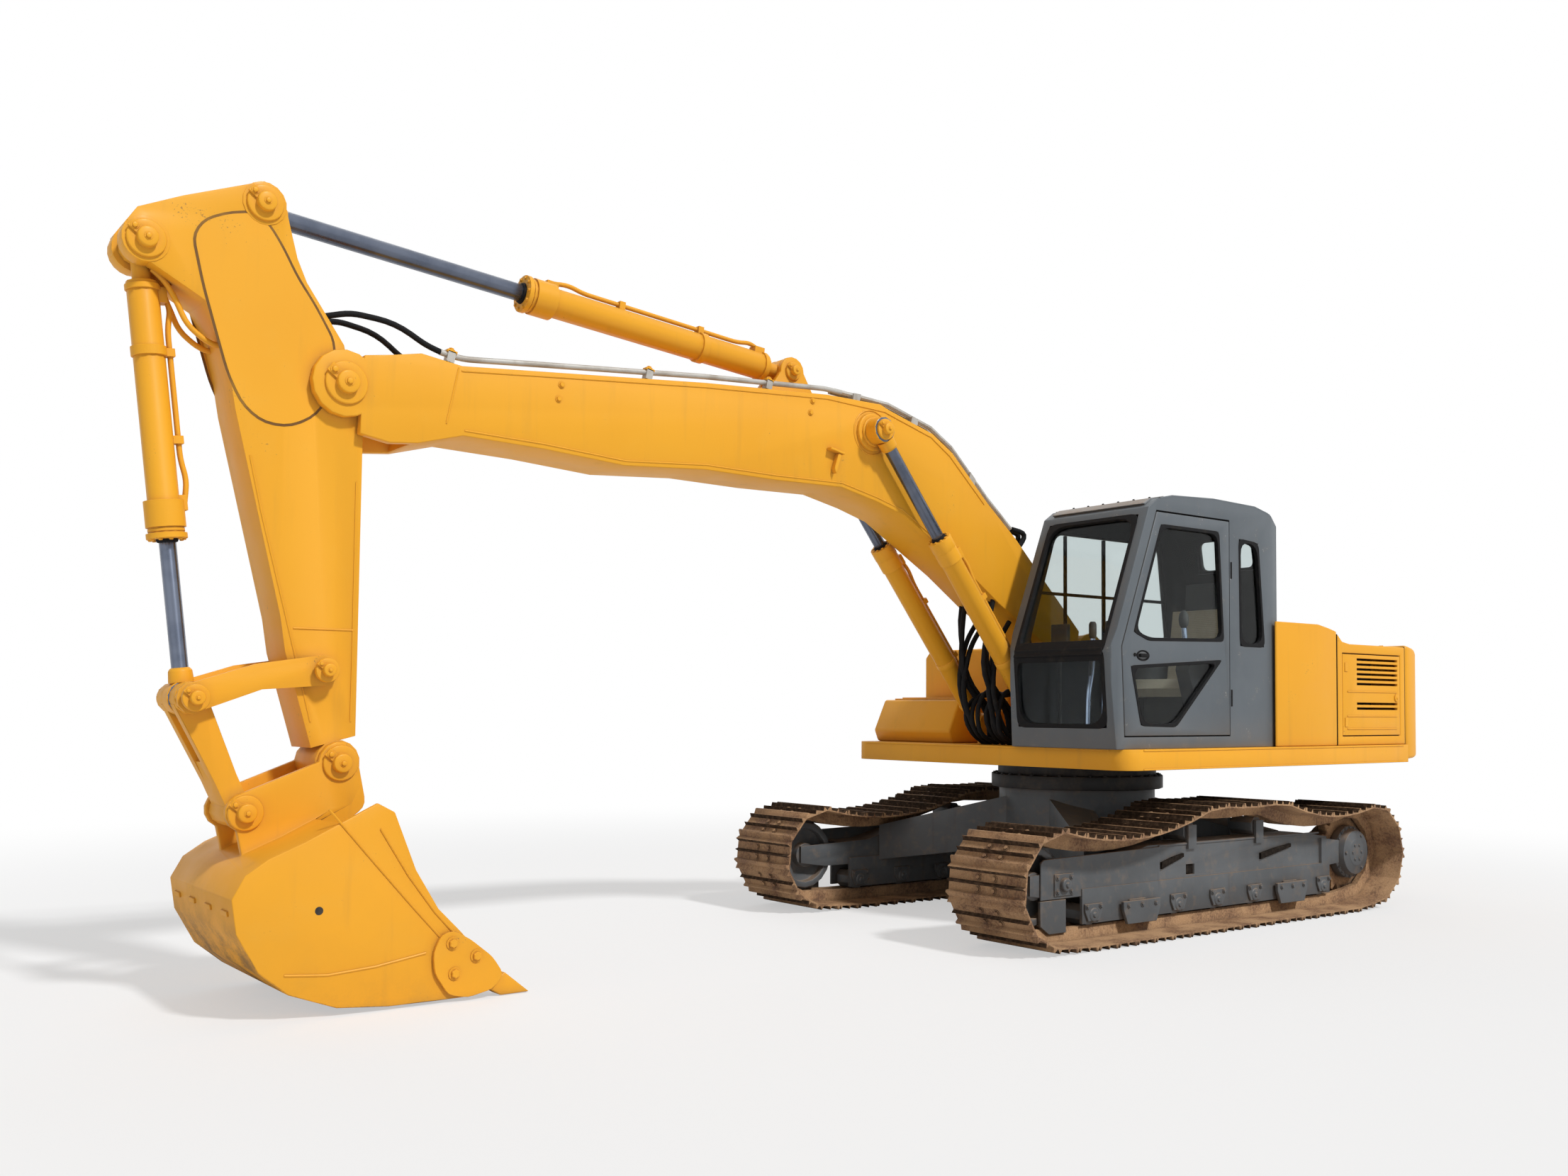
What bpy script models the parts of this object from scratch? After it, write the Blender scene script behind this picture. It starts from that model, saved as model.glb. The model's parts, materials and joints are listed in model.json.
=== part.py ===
"""Crawler excavator with a one-piece boom, a short arm and a general purpose bucket.

World frame: X forward, Y to the machine's left, Z up, metres, ground at z = 0.
Every moving piece hangs under an empty that stands on its joint's axis, and side outlines
are drawn in that empty's own X and Z. The machine is modelled as it stands parked.
"""
import bpy
import bmesh
from math import atan2, cos, degrees, hypot, pi, radians, sin
from mathutils import Matrix, Vector

for old in list(bpy.data.objects):
    bpy.data.objects.remove(old, do_unlink=True)

# Clearances, in metres
SEAT_GAP = 0.0003        # between two pieces that are fastened or slide on each other
RUN_GAP = 0.006          # between pieces that move past each other
CUT_OVERRUN = 0.020      # how far a cut runs past the material it opens
FUSE_DEPTH = 0.020       # how far a joined shape runs into its neighbour
PANEL_GAP = 0.010        # between the housings' fixed panels

# Undercarriage
TRACK_GAUGE = 2.30
SHOE_WIDTH = 0.65
SHOE_COUNT = 49
PLATE_THICK = 0.010
GROUSER_HEIGHT = 0.026
LINK_HALF = 0.042
LINK_OUTER = 0.090
LINK_INNER = 0.045
IDLER_Z = 0.400
IDLER_PITCH_RADIUS = 0.307
SPROCKET_Z = 0.420
SPROCKET_PITCH_RADIUS = 0.316
CARRIER_FRONT_X = 0.270
CARRIER_REAR_X = -0.520
CARRIER_RADIUS = 0.070
TRACK_TOP_Z = 0.810
FRONT_SAG = 0.105
FRONT_SLOPE = radians(23.6)
MIDDLE_SAG = 0.020
REAR_SAG = 0.080
REAR_SLOPE = radians(14.6)
ROLLER_RADIUS = 0.070
ROLLER_SPAN = 2.640
ROLLER_COUNT = 7
IDLER_PAST = 0.505       # the idler's axle beyond the front roller's
SPROCKET_PAST = 0.430    # the sprocket's axle behind the rear roller's
IDLER_X = ROLLER_SPAN / 2 + IDLER_PAST
SPROCKET_X = -ROLLER_SPAN / 2 - SPROCKET_PAST
GROUND_PAST = 0.180      # level track beyond the outer rollers' axles
BEAM_HALF = 0.100
BEAM_WALL = 0.020
BEAM_TOP = 0.600
BEAM_BOTTOM = 0.310

# Upper structure, from the slew axis
DECK_BOTTOM = 1.110
DECK_TOP = 1.250
DECK_FRONT = 1.090
DECK_REAR = -2.400
DECK_HALF = 1.370
HOUSING_HALF = 1.350
HOUSING_WALL = 0.030
BULKHEAD_X = -1.420
HOOD_TOP = 2.030
MID_TOP = 2.165
TAIL_REAR = -2.816
TAIL_TOP = 2.046
TAIL_CORNER = 0.350
TURNTABLE_RADIUS = 0.600
RING_RADIUS = 0.650
RING_BORE = 0.480
RING_BOTTOM = 0.920
RING_TOP = 1.020

# Cab
CAB_REAR = -0.840
CAB_LENGTH = 2.020
CAB_HEIGHT = 1.750
CAB_INNER_Y = 0.385
CAB_OUTER_Y = 1.315
CAB_WALL = 0.045
CAB_CORNER = 0.220
CAB_FRONT_CORNER = 0.060
GLASS_THICK = 0.006
DOOR_GAP = 0.008

# Boom, arm and bucket: pin distances and how they stand at rest
FOOT_X = 0.120
FOOT_Z = 1.930
BOOM_LENGTH = 5.901
BOOM_ANGLE = radians(12.16)
BOOM_HALF = 0.210
BOOM_RAM_ALONG = 2.432
BOOM_RAM_ABOVE = 0.939
ARM_FOOT_ALONG = 3.069
ARM_FOOT_ABOVE = 1.161
ARM_LENGTH = 1.961
ARM_ANGLE = radians(-90.18)
ARM_HALF = 0.150
ARM_RAM_ALONG = -0.864
ARM_RAM_OUT = 0.408
CURL_FOOT_ALONG = -0.570
CURL_FOOT_OUT = 0.966
IDLER_PIN_ALONG = 1.487
IDLER_PIN_OUT = 0.088
BUCKET_RADIUS = 1.512
BUCKET_ANGLE = radians(-126.90)
BUCKET_HALF = 0.550
BUCKET_WALL = 0.022
LINK_PIN_ALONG = -0.094
LINK_PIN_OUT = 0.520
IDLER_LENGTH = 0.6525
IDLER_ANGLE = radians(-12.93)
FORK_HALF = 0.155
IDLER_IN = 0.165         # inner face of the idler plates
FORK_DEPTH = 0.420
BRACKET_INNER = 0.222
RAM_FOOT_X = 0.740
RAM_FOOT_Z = 1.400
RAM_Y = 0.300
RAM_EYE_HALF = 0.050

# Cylinders: outer radius, rod radius, barrel length, rod length, eye radius
BOOM_RAM = dict(outer=0.074, rod=0.043, barrel=1.635, length=1.400, eye=0.085)
ARM_RAM = dict(outer=0.086, rod=0.050, barrel=1.921, length=1.985, eye=0.095)
CURL_RAM = dict(outer=0.074, rod=0.040, barrel=1.430, length=1.440, eye=0.085)


# Shapes

def finished(shape):
    """A mesh of the built shape, its faces turned outwards."""
    bmesh.ops.remove_doubles(shape, verts=shape.verts, dist=SEAT_GAP / 10)
    bmesh.ops.recalc_face_normals(shape, faces=shape.faces)
    mesh = bpy.data.meshes.new("shape")
    shape.to_mesh(mesh)
    shape.free()
    return mesh


def prism(outline, low, high, along="Y"):
    """A flat outline pushed along one axis. The outline holds the other two coordinates in order."""
    spot = {"X": lambda a, b, t: (t, a, b), "Y": lambda a, b, t: (a, t, b),
            "Z": lambda a, b, t: (a, b, t)}[along]
    shape = bmesh.new()
    ends = [[shape.verts.new(spot(a, b, level)) for a, b in outline] for level in (low, high)]
    shape.faces.new(ends[0])
    shape.faces.new(ends[1])
    for i in range(len(outline)):
        j = (i + 1) % len(outline)
        shape.faces.new((ends[0][i], ends[0][j], ends[1][j], ends[1][i]))
    return finished(shape)


def block(low, high):
    """A plain block between two opposite corners."""
    outline = [(low[0], low[2]), (high[0], low[2]), (high[0], high[2]), (low[0], high[2])]
    return prism(outline, low[1], high[1])


def turned(profile, sides, axis="Y", centre=(0, 0, 0)):
    """A profile of (along, radius) turned about an axis: from pole to pole, or a closed ring."""
    spot = {"X": lambda t, a, b: (t, a, b), "Y": lambda t, a, b: (a, t, b),
            "Z": lambda t, a, b: (a, b, t)}[axis]
    shape = bmesh.new()
    rings = []
    for along, radius in profile:
        turns = sides if radius > 0 else 1
        angles = [(step + 0.5) * 2 * pi / sides for step in range(turns)]
        rings.append([shape.verts.new(Vector(centre) + Vector(spot(along, radius * cos(a), radius * sin(a))))
                      for a in angles])
    closed = profile[0][1] > 0
    for i in range(len(rings) if closed else len(rings) - 1):
        near, far = rings[i], rings[(i + 1) % len(rings)]
        for step in range(sides):
            after = (step + 1) % sides
            corners = [near[step % len(near)], near[after % len(near)], far[after % len(far)], far[step % len(far)]]
            shape.faces.new(list(dict.fromkeys(corners)))
    return finished(shape)


def disc(x, z, radius, low, high, sides=12):
    """A round boss or pin lying along Y."""
    return turned([(low, 0), (low, radius), (high, radius), (high, 0)], sides, "Y", (x, 0, z))


def tube(points, radius, sides=6):
    """A round bar that follows a row of points, its ends cut square."""
    points = [Vector(point) for point in points]
    shape = bmesh.new()
    rings = []
    side = None
    for i, point in enumerate(points):
        ahead = (points[min(i + 1, len(points) - 1)] - points[max(i - 1, 0)]).normalized()
        if side is None:
            side = ahead.orthogonal().normalized()
        side = (side - ahead * side.dot(ahead)).normalized()
        other = ahead.cross(side)
        angles = [step * 2 * pi / sides for step in range(sides)]
        rings.append([shape.verts.new(point + (side * cos(a) + other * sin(a)) * radius) for a in angles])
    for near, far in zip(rings, rings[1:]):
        for step in range(sides):
            after = (step + 1) % sides
            shape.faces.new((near[step], near[after], far[after], far[step]))
    shape.faces.new(rings[0])
    shape.faces.new(rings[-1])
    return finished(shape)


def boolean(base, others, operation):
    """The base mesh after a union, difference or intersection with the others, one by one."""
    body = bpy.data.objects.new("body", base)
    bpy.context.collection.objects.link(body)
    tools = []
    for other in others:
        tool = bpy.data.objects.new("tool", other)
        bpy.context.collection.objects.link(tool)
        modifier = body.modifiers.new("cut", "BOOLEAN")
        modifier.operation = operation
        modifier.object = tool
        tools.append(tool)
    bpy.context.view_layer.update()
    result = bpy.data.meshes.new_from_object(body.evaluated_get(bpy.context.evaluated_depsgraph_get()))
    for used in [body] + tools:
        bpy.data.objects.remove(used, do_unlink=True)
    return result


def fused(shapes, cuts=()):
    """Overlapping shapes made one body, less the cuts."""
    body = shapes[0]
    if len(shapes) > 1:
        body = boolean(body, shapes[1:], "UNION")
    if cuts:
        body = boolean(body, cuts, "DIFFERENCE")
    return body


def common(first, second):
    """What two shapes share."""
    return boolean(first, [second], "INTERSECT")


def scaled(shares, length, height, x=0, z=0):
    """An outline from shares of a length and of a height, measured from (x, z)."""
    return [(x + along * length, z + up * height) for along, up in shares]


def inset(outline, distance):
    """The outline moved inwards by a distance; outlines run either way round."""
    count = len(outline)
    area = sum(outline[i][0] * outline[(i + 1) % count][1] - outline[(i + 1) % count][0] * outline[i][1]
               for i in range(count))
    turn = 1 if area > 0 else -1
    moved = []
    for i in range(count):
        before, here, after = (Vector(outline[(i + k) % count]) for k in (-1, 0, 1))
        into = (here - before).normalized()
        away = (after - here).normalized()
        normal = Vector((-into.y - away.y, into.x + away.x)) * turn
        normal = normal / (1 + into.dot(away))
        moved.append(tuple(here + normal * distance))
    return moved


def arc(x, z, radius, start, stop, steps):
    """Points on a circle from one angle to another, in degrees, with both ends."""
    angles = [radians(start + (stop - start) * step / steps) for step in range(steps + 1)]
    return [(x + radius * cos(a), z + radius * sin(a)) for a in angles]


def along_edge(start, stop, near, far):
    """A thin outline along an edge from start to stop, between two depths to the left of it."""
    start, stop = Vector(start), Vector(stop)
    ahead = (stop - start).normalized()
    left = Vector((-ahead.y, ahead.x))
    return [tuple(start + left * near), tuple(stop + left * near), tuple(stop + left * far),
            tuple(start + left * far)]


# Finishes, carriers and the pieces' objects

FINISHES = {}
# name: base colour, roughness, metallic
FINISH_TABLE = (
    ("machine_orange", (0.90, 0.42, 0.035), 0.50, 0.0),
    ("cab_grey", (0.13, 0.15, 0.17), 0.50, 0.0),
    ("frame_grey", (0.16, 0.17, 0.17), 0.60, 0.1),
    ("dark_steel", (0.035, 0.035, 0.04), 0.60, 0.3),
    ("rusty_steel", (0.16, 0.085, 0.05), 0.85, 0.5),
    ("bright_steel", (0.45, 0.50, 0.58), 0.20, 1.0),
    ("pipe_grey", (0.50, 0.50, 0.48), 0.55, 0.2),
    ("tinted_glass", (0.05, 0.06, 0.07), 0.05, 0.0),
    ("seat_cloth", (0.45, 0.38, 0.28), 0.90, 0.0),
    ("black_plastic", (0.02, 0.02, 0.022), 0.60, 0.0),
)
for label, colour, roughness, metallic in FINISH_TABLE:
    finish = bpy.data.materials.new(label)
    finish.use_nodes = True
    shader = finish.node_tree.nodes["Principled BSDF"]
    shader.inputs["Base Color"].default_value = (*colour, 1)
    shader.inputs["Roughness"].default_value = roughness
    shader.inputs["Metallic"].default_value = metallic
    FINISHES[label] = finish


def carrier(name, x, z, angle=0, parent=None, y=0):
    """An empty on a joint's axis, its X turned up by an angle. Places are from the slew axis."""
    empty = bpy.data.objects.new(name, None)
    bpy.context.collection.objects.link(empty)
    world = Matrix.Translation((SLEW_X + x, y, z)) @ Matrix.Rotation(-angle, 4, "Y")
    if parent:
        empty.parent = parent
        empty.matrix_parent_inverse = parent.matrix_world.inverted()
    empty.matrix_world = world
    bpy.context.view_layer.update()
    return empty


def piece(name, mesh, finish, on):
    """One node in its carrier's frame."""
    mesh.name = name
    mesh.materials.clear()
    mesh.materials.append(FINISHES[finish])
    for polygon in mesh.polygons:
        polygon.material_index = 0
    node = bpy.data.objects.new(name, mesh)
    bpy.context.collection.objects.link(node)
    node.parent = on
    return node


def turned_by(point, angle):
    """A point of a side frame, turned up by an angle."""
    return (point[0] * cos(angle) - point[1] * sin(angle), point[0] * sin(angle) + point[1] * cos(angle))


def placed(origin, angle, point):
    """A point of a turned side frame, in the machine's side plane."""
    x, z = turned_by(point, angle)
    return (origin[0] + x, origin[1] + z)


# Pins in the machine's side plane, from the slew axis

BOOM_FOOT = (FOOT_X, FOOT_Z)
ARM_PIN = placed(BOOM_FOOT, BOOM_ANGLE, (BOOM_LENGTH, 0))
BOOM_RAM_PIN = placed(BOOM_FOOT, BOOM_ANGLE, (BOOM_RAM_ALONG, BOOM_RAM_ABOVE))
ARM_RAM_FOOT = placed(BOOM_FOOT, BOOM_ANGLE, (ARM_FOOT_ALONG, ARM_FOOT_ABOVE))
ARM_RAM_PIN = placed(ARM_PIN, ARM_ANGLE, (ARM_RAM_ALONG, ARM_RAM_OUT))
CURL_RAM_FOOT = placed(ARM_PIN, ARM_ANGLE, (CURL_FOOT_ALONG, CURL_FOOT_OUT))
IDLER_PIN = placed(ARM_PIN, ARM_ANGLE, (IDLER_PIN_ALONG, IDLER_PIN_OUT))
BUCKET_PIN = placed(ARM_PIN, ARM_ANGLE, (ARM_LENGTH, 0))
LINK_PIN = placed(BUCKET_PIN, BUCKET_ANGLE, (LINK_PIN_ALONG, LINK_PIN_OUT))
KNEE_PIN = placed(IDLER_PIN, IDLER_ANGLE, (IDLER_LENGTH, 0))
RAM_FOOT = (RAM_FOOT_X, RAM_FOOT_Z)

CURL_LUG_RADIUS = 0.110
CURL_LUG_SIDES = 20
FRONT_REACH = CURL_RAM_FOOT[0] + CURL_LUG_RADIUS * cos(pi / CURL_LUG_SIDES + ARM_ANGLE + pi / 2)
SLEW_X = -(FRONT_REACH + TAIL_REAR) / 2

ground = carrier("ground", 0, 0)
slew = carrier("slew_axis", 0, 0, parent=ground)
boom_axis = carrier("boom_axis", *BOOM_FOOT, BOOM_ANGLE, slew)
arm_axis = carrier("arm_axis", *ARM_PIN, ARM_ANGLE, boom_axis)
bucket_axis = carrier("bucket_axis", *BUCKET_PIN, BUCKET_ANGLE, arm_axis)


# Tracks: a chain of links with three-bar shoes, hung over idler, sprocket and carrier rollers

def hanging(start, stop, sag, steps):
    """Points of a slack run between two ends, without its last point."""
    run = []
    for step in range(steps):
        t = step / steps
        x = start[0] + (stop[0] - start[0]) * t
        z = start[1] + (stop[1] - start[1]) * t - 4 * sag * t * (1 - t)
        run.append((x, z))
    return run


GROUND_RUN_Z = LINK_HALF + PLATE_THICK + GROUSER_HEIGHT


def track_run():
    """The chain's pin line: along the ground, round the idler, back over the rollers, round the sprocket."""
    half_span = ROLLER_SPAN / 2 + GROUND_PAST
    run = [(-half_span, GROUND_RUN_Z), (half_span, GROUND_RUN_Z)]
    idler = arc(IDLER_X, IDLER_Z, IDLER_PITCH_RADIUS, -90, 90 + degrees(FRONT_SLOPE), 28)
    run += idler[:-1]
    run += hanging(idler[-1], (CARRIER_FRONT_X, TRACK_TOP_Z), FRONT_SAG, 12)
    run += hanging((CARRIER_FRONT_X, TRACK_TOP_Z), (CARRIER_REAR_X, TRACK_TOP_Z), MIDDLE_SAG, 6)
    sprocket = arc(SPROCKET_X, SPROCKET_Z, SPROCKET_PITCH_RADIUS, 90 - degrees(REAR_SLOPE), 270, 28)
    run += hanging((CARRIER_REAR_X, TRACK_TOP_Z), sprocket[0], REAR_SAG, 12)
    run += sprocket
    return run


def even_pins(run, count):
    """Pins at equal steps along a closed run, the first in the middle of the ground stretch."""
    start = ((run[0][0] + run[1][0]) / 2, run[0][1])
    closed = [start] + run[1:] + [run[0], start]
    lengths = [hypot(b[0] - a[0], b[1] - a[1]) for a, b in zip(closed, closed[1:])]
    step = sum(lengths) / count
    pins = []
    edge, done = 0, 0
    for index in range(count):
        target = index * step
        while done + lengths[edge] < target:
            done += lengths[edge]
            edge += 1
        t = (target - done) / lengths[edge]
        a, b = closed[edge], closed[edge + 1]
        pins.append(Vector((a[0] + (b[0] - a[0]) * t, a[1] + (b[1] - a[1]) * t)))
    return pins


RUN_PINS = even_pins(track_run(), SHOE_COUNT)
TRACK_PITCH = (RUN_PINS[1] - RUN_PINS[0]).length


def outward(first, second):
    """The normal of one link that points out of the loop."""
    ahead = (second - first).normalized()
    return Vector((ahead.y, -ahead.x))


# A shoe's side view: share of the pitch, and 0 groove, 1 plate, 2 bar's tip
SHOE_SHARES = ((0, 0), (0.05, 2), (0.12, 2), (0.16, 1), (0.44, 1), (0.50, 2), (0.56, 1), (0.86, 1), (0.95, 2))


def track_mesh():
    """One closed loop: shoe plates as wide as the track, two rows of links inside them."""
    pins = RUN_PINS
    levels = (LINK_HALF + PLATE_THICK / 2, LINK_HALF + PLATE_THICK, LINK_HALF + PLATE_THICK + GROUSER_HEIGHT)
    outer, under, inner = [], [], []
    for i, pin in enumerate(pins):
        after = pins[(i + 1) % SHOE_COUNT]
        normal = outward(pin, after)
        joint = (outward(pins[i - 1], pin) + normal).normalized()
        for share, level in SHOE_SHARES:
            out = joint if share == 0 else normal
            outer.append(pin.lerp(after, share) + out * levels[level])
        under.append(pin + joint * LINK_HALF)
        inner.append(pin - joint * LINK_HALF)
    half = SHOE_WIDTH / 2
    shape = bmesh.new()

    def ring(points, y):
        return [shape.verts.new((point.x, y, point.y)) for point in points]

    def skin(near, far):
        for i in range(len(near)):
            j = (i + 1) % len(near)
            shape.faces.new((near[i], near[j], far[j], far[i]))

    rows = len(SHOE_SHARES)
    tops = [ring(outer, -half), ring(outer, half)]
    skin(*tops)
    edges = [ring(under, -half), ring(under, half)]
    for top, edge in zip(tops, edges):
        for i in range(SHOE_COUNT):
            upper = [top[(i * rows + k) % len(top)] for k in range(rows + 1)]
            shape.faces.new(upper + [edge[(i + 1) % SHOE_COUNT], edge[i]])
    strips = [edges[0]]
    for y_out, y_in in ((-LINK_OUTER, -LINK_INNER), (LINK_INNER, LINK_OUTER)):
        strips += [ring(under, y_out), ring(inner, y_out), ring(inner, y_in), ring(under, y_in)]
    strips.append(edges[1])
    for near, far in zip(strips, strips[1:]):
        skin(near, far)
    return finished(shape)


def shifted(mesh, y):
    """The same mesh, moved across the machine."""
    moved = mesh.copy()
    moved.transform(Matrix.Translation((0, y, 0)))
    return moved


TRACK_Y = TRACK_GAUGE / 2
track_shape = track_mesh()
piece("track_left", shifted(track_shape, TRACK_Y), "rusty_steel", ground)
piece("track_right", shifted(track_shape, -TRACK_Y), "rusty_steel", ground)

# Idler and sprocket between the links, with the drive that carries the sprocket

GUIDE_HALF = LINK_INNER - RUN_GAP
ROLLER_SHAFT = 0.030
ROLLER_SIDES = 8
ROLLER_Z = GROUND_RUN_Z + LINK_HALF + ROLLER_RADIUS * cos(pi / ROLLER_SIDES) + SEAT_GAP
CARRIER_SLACK = 0.024
CARRIER_Z = TRACK_TOP_Z - LINK_HALF - CARRIER_RADIUS - CARRIER_SLACK


def flipped(mesh):
    """The mirror image across the machine's middle plane."""
    image = mesh.copy()
    image.transform(Matrix.Diagonal((1, -1, 1, 1)))
    image.flip_normals()
    return image


def on_both_tracks(name, mesh, finish):
    """One node on each track, named by its side."""
    left = shifted(mesh, TRACK_Y)
    piece(name + "_right", flipped(left), finish, ground)
    piece(name + "_left", left, finish, ground)


FLANGE_HEIGHT = 0.020
# the links are straight, so their middles lie nearer the axle than their pins
IDLER_CHORD = (IDLER_PITCH_RADIUS ** 2 - (TRACK_PITCH / 2) ** 2) ** 0.5
IDLER_TREAD = (IDLER_PITCH_RADIUS - LINK_HALF) * IDLER_CHORD / IDLER_PITCH_RADIUS - RUN_GAP
IDLER_FLANGE = IDLER_TREAD + FLANGE_HEIGHT
IDLER_WEB = 0.020
IDLER_RIM = 0.045
IDLER_HUB = 0.090
IDLER_SIDES = 18
idler_end = BEAM_HALF - BEAM_WALL - SEAT_GAP
idler_half = [(idler_end, 0), (idler_end, IDLER_HUB), (IDLER_WEB, IDLER_HUB),
              (IDLER_WEB, IDLER_TREAD - IDLER_RIM), (idler_end, IDLER_TREAD - IDLER_RIM),
              (idler_end, IDLER_TREAD), (GUIDE_HALF, IDLER_TREAD), (GUIDE_HALF, IDLER_FLANGE)]
idler_profile = [(-y, r) for y, r in idler_half] + idler_half[::-1]
on_both_tracks("idler", turned(idler_profile, IDLER_SIDES, "Y", (IDLER_X, 0, IDLER_Z)), "frame_grey")

COG_COUNT = 21
COG_PROUD = 0.008        # a tooth's tip outside the pitch circle, and its root inside it
COG_DEPTH = 0.045
COG_TIP = SPROCKET_PITCH_RADIUS + COG_PROUD
COG_ROOT = SPROCKET_PITCH_RADIUS - COG_DEPTH
COG_HALF = 0.032
DRIVE_RADIUS = 0.205
DRIVE_DRUM = 0.180
DRIVE_OUT = 0.155
DRIVE_SIDES = 16
MOTOR_OUT = 0.220
MOTOR_SHARE = 0.75
COVER_SHARE = 0.86
# shares of a tooth's step round the rim, and 0 root, 1 tip
COG_SHARES = ((0.08, 0), (0.34, 1), (0.54, 1), (0.80, 0))
cog_side = []
for cog in range(COG_COUNT):
    for share, level in COG_SHARES:
        reach = COG_ROOT + (COG_TIP - COG_ROOT) * level
        angle = (cog + share) * 2 * pi / COG_COUNT
        cog_side.append((SPROCKET_X + reach * cos(angle), SPROCKET_Z + reach * sin(angle)))
drum_hole = disc(SPROCKET_X, SPROCKET_Z, DRIVE_DRUM + SEAT_GAP, -COG_HALF - CUT_OVERRUN, COG_HALF + CUT_OVERRUN,
                 DRIVE_SIDES)
sprocket = fused([prism(cog_side, -COG_HALF, COG_HALF)], [drum_hole])
on_both_tracks("sprocket", sprocket, "rusty_steel")
drive_seat = COG_HALF + SEAT_GAP
drive_profile = [(-MOTOR_OUT, 0), (-MOTOR_OUT, DRIVE_RADIUS * MOTOR_SHARE), (-drive_seat, DRIVE_RADIUS),
                 (-drive_seat, DRIVE_DRUM), (drive_seat, DRIVE_DRUM), (drive_seat, DRIVE_RADIUS),
                 (BEAM_HALF, DRIVE_RADIUS), (DRIVE_OUT, DRIVE_RADIUS * COVER_SHARE), (DRIVE_OUT, 0)]
final_drive = turned(drive_profile, DRIVE_SIDES, "Y", (SPROCKET_X, 0, SPROCKET_Z))
on_both_tracks("final_drive", final_drive, "frame_grey")

# Track frames: a closed beam with its rollers, a fork for the idler and a seat for the drive

YOKE_PAST = 0.060        # past the idler's axle
LOOP_CLEAR = 0.020       # between the beam and what turns at its ends
POST_HALF = 0.045
SKIRT_PAST = 0.100
SKIRT_LOW = 0.050
BEAM_FRONT = IDLER_X + YOKE_PAST
FORK_START = IDLER_X - IDLER_PITCH_RADIUS - LOOP_CLEAR
BEAM_REAR = SPROCKET_X + SPROCKET_PITCH_RADIUS + LOOP_CLEAR
CHEEK_REAR = SPROCKET_X + DRIVE_RADIUS * cos(pi / DRIVE_SIDES) + SEAT_GAP
# shares of the beam's length from the sprocket to the idler's yoke, and of its height
BEAM_SHARES = ((0, 0.10), (0.05, 0), (0.93, 0), (1, 0.12), (1, 0.55), (0.80, 0.62), (0.65, 1), (0.10, 1), (0, 0.85))


def roller(x, z, radius):
    """A plain tread with a shaft that ends inside the plates that hold it."""
    end = BEAM_HALF + BEAM_WALL / 2
    return turned([(-end, 0), (-end, ROLLER_SHAFT), (-LINK_OUTER, ROLLER_SHAFT), (-LINK_OUTER, radius),
                   (LINK_OUTER, radius), (LINK_OUTER, ROLLER_SHAFT), (end, ROLLER_SHAFT), (end, 0)],
                  ROLLER_SIDES, "Y", (x, 0, z))


def track_frame():
    """The left frame with its rollers, about its own middle plane."""
    length = BEAM_FRONT - BEAM_REAR
    height = BEAM_TOP - BEAM_BOTTOM
    shapes = [prism(scaled(BEAM_SHARES, length, height, BEAM_REAR, BEAM_BOTTOM), -BEAM_HALF, BEAM_HALF)]
    reach = ROLLER_SPAN / 2 + SKIRT_PAST
    skirt = [(-reach, BEAM_BOTTOM + SKIRT_LOW), (-reach, ROLLER_Z - SKIRT_LOW), (reach, ROLLER_Z - SKIRT_LOW),
             (reach, BEAM_BOTTOM + SKIRT_LOW)]
    cheek = [(CHEEK_REAR, SPROCKET_Z - DRIVE_RADIUS / 3), (BEAM_REAR + SKIRT_PAST, BEAM_BOTTOM + SKIRT_LOW / 2),
             (BEAM_REAR + SKIRT_PAST, BEAM_TOP - SKIRT_LOW), (CHEEK_REAR, SPROCKET_Z + DRIVE_RADIUS / 2)]
    carriers = (CARRIER_FRONT_X, CARRIER_REAR_X)
    for side in (1, -1):
        low, high = sorted((side * BEAM_HALF, side * (BEAM_HALF + BEAM_WALL)))
        shapes.append(prism(skirt, low, high))
        shapes.append(prism(cheek, low, high))
        for x in carriers:
            post = [(x - POST_HALF, BEAM_TOP - POST_HALF), (x + POST_HALF, BEAM_TOP - POST_HALF),
                    (x + POST_HALF, CARRIER_Z + POST_HALF), (x - POST_HALF, CARRIER_Z + POST_HALF)]
            shapes.append(prism(post, low, high))
    step = ROLLER_SPAN / (ROLLER_COUNT - 1)
    for index in range(ROLLER_COUNT):
        shapes.append(roller(ROLLER_SPAN / 2 - index * step, ROLLER_Z, ROLLER_RADIUS))
    for x in carriers:
        shapes.append(roller(x, CARRIER_Z, CARRIER_RADIUS))
    slot_half = BEAM_HALF - BEAM_WALL
    slot = block((FORK_START, -slot_half, BEAM_BOTTOM - CUT_OVERRUN),
                 (BEAM_FRONT + CUT_OVERRUN, slot_half, BEAM_TOP + CUT_OVERRUN))
    return fused(shapes, [slot])


on_both_tracks("track_frame", track_frame(), "frame_grey")

# Car body: a round hub on four legs that slope down to the track frames

HUB_RADIUS = 0.590
HUB_BOTTOM = 0.440
HUB_SIDES = 24
LEG_LIFT = 0.020         # a leg's end above the beam's lower face
LEG_ROOT_Y = 0.190
LEG_END_Y = TRACK_Y - BEAM_HALF - BEAM_WALL - SEAT_GAP
# along the machine, half width, bottom and top of a leg, inside the hub and at the track frame
LEG_ROOT_X, LEG_ROOT_HALF, LEG_ROOT_LOW, LEG_ROOT_HIGH = 0.330, 0.200, 0.470, 0.860
LEG_END_X, LEG_END_HALF, LEG_END_LOW, LEG_END_HIGH = 0.950, 0.170, BEAM_BOTTOM + LEG_LIFT, BEAM_TOP


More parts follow.
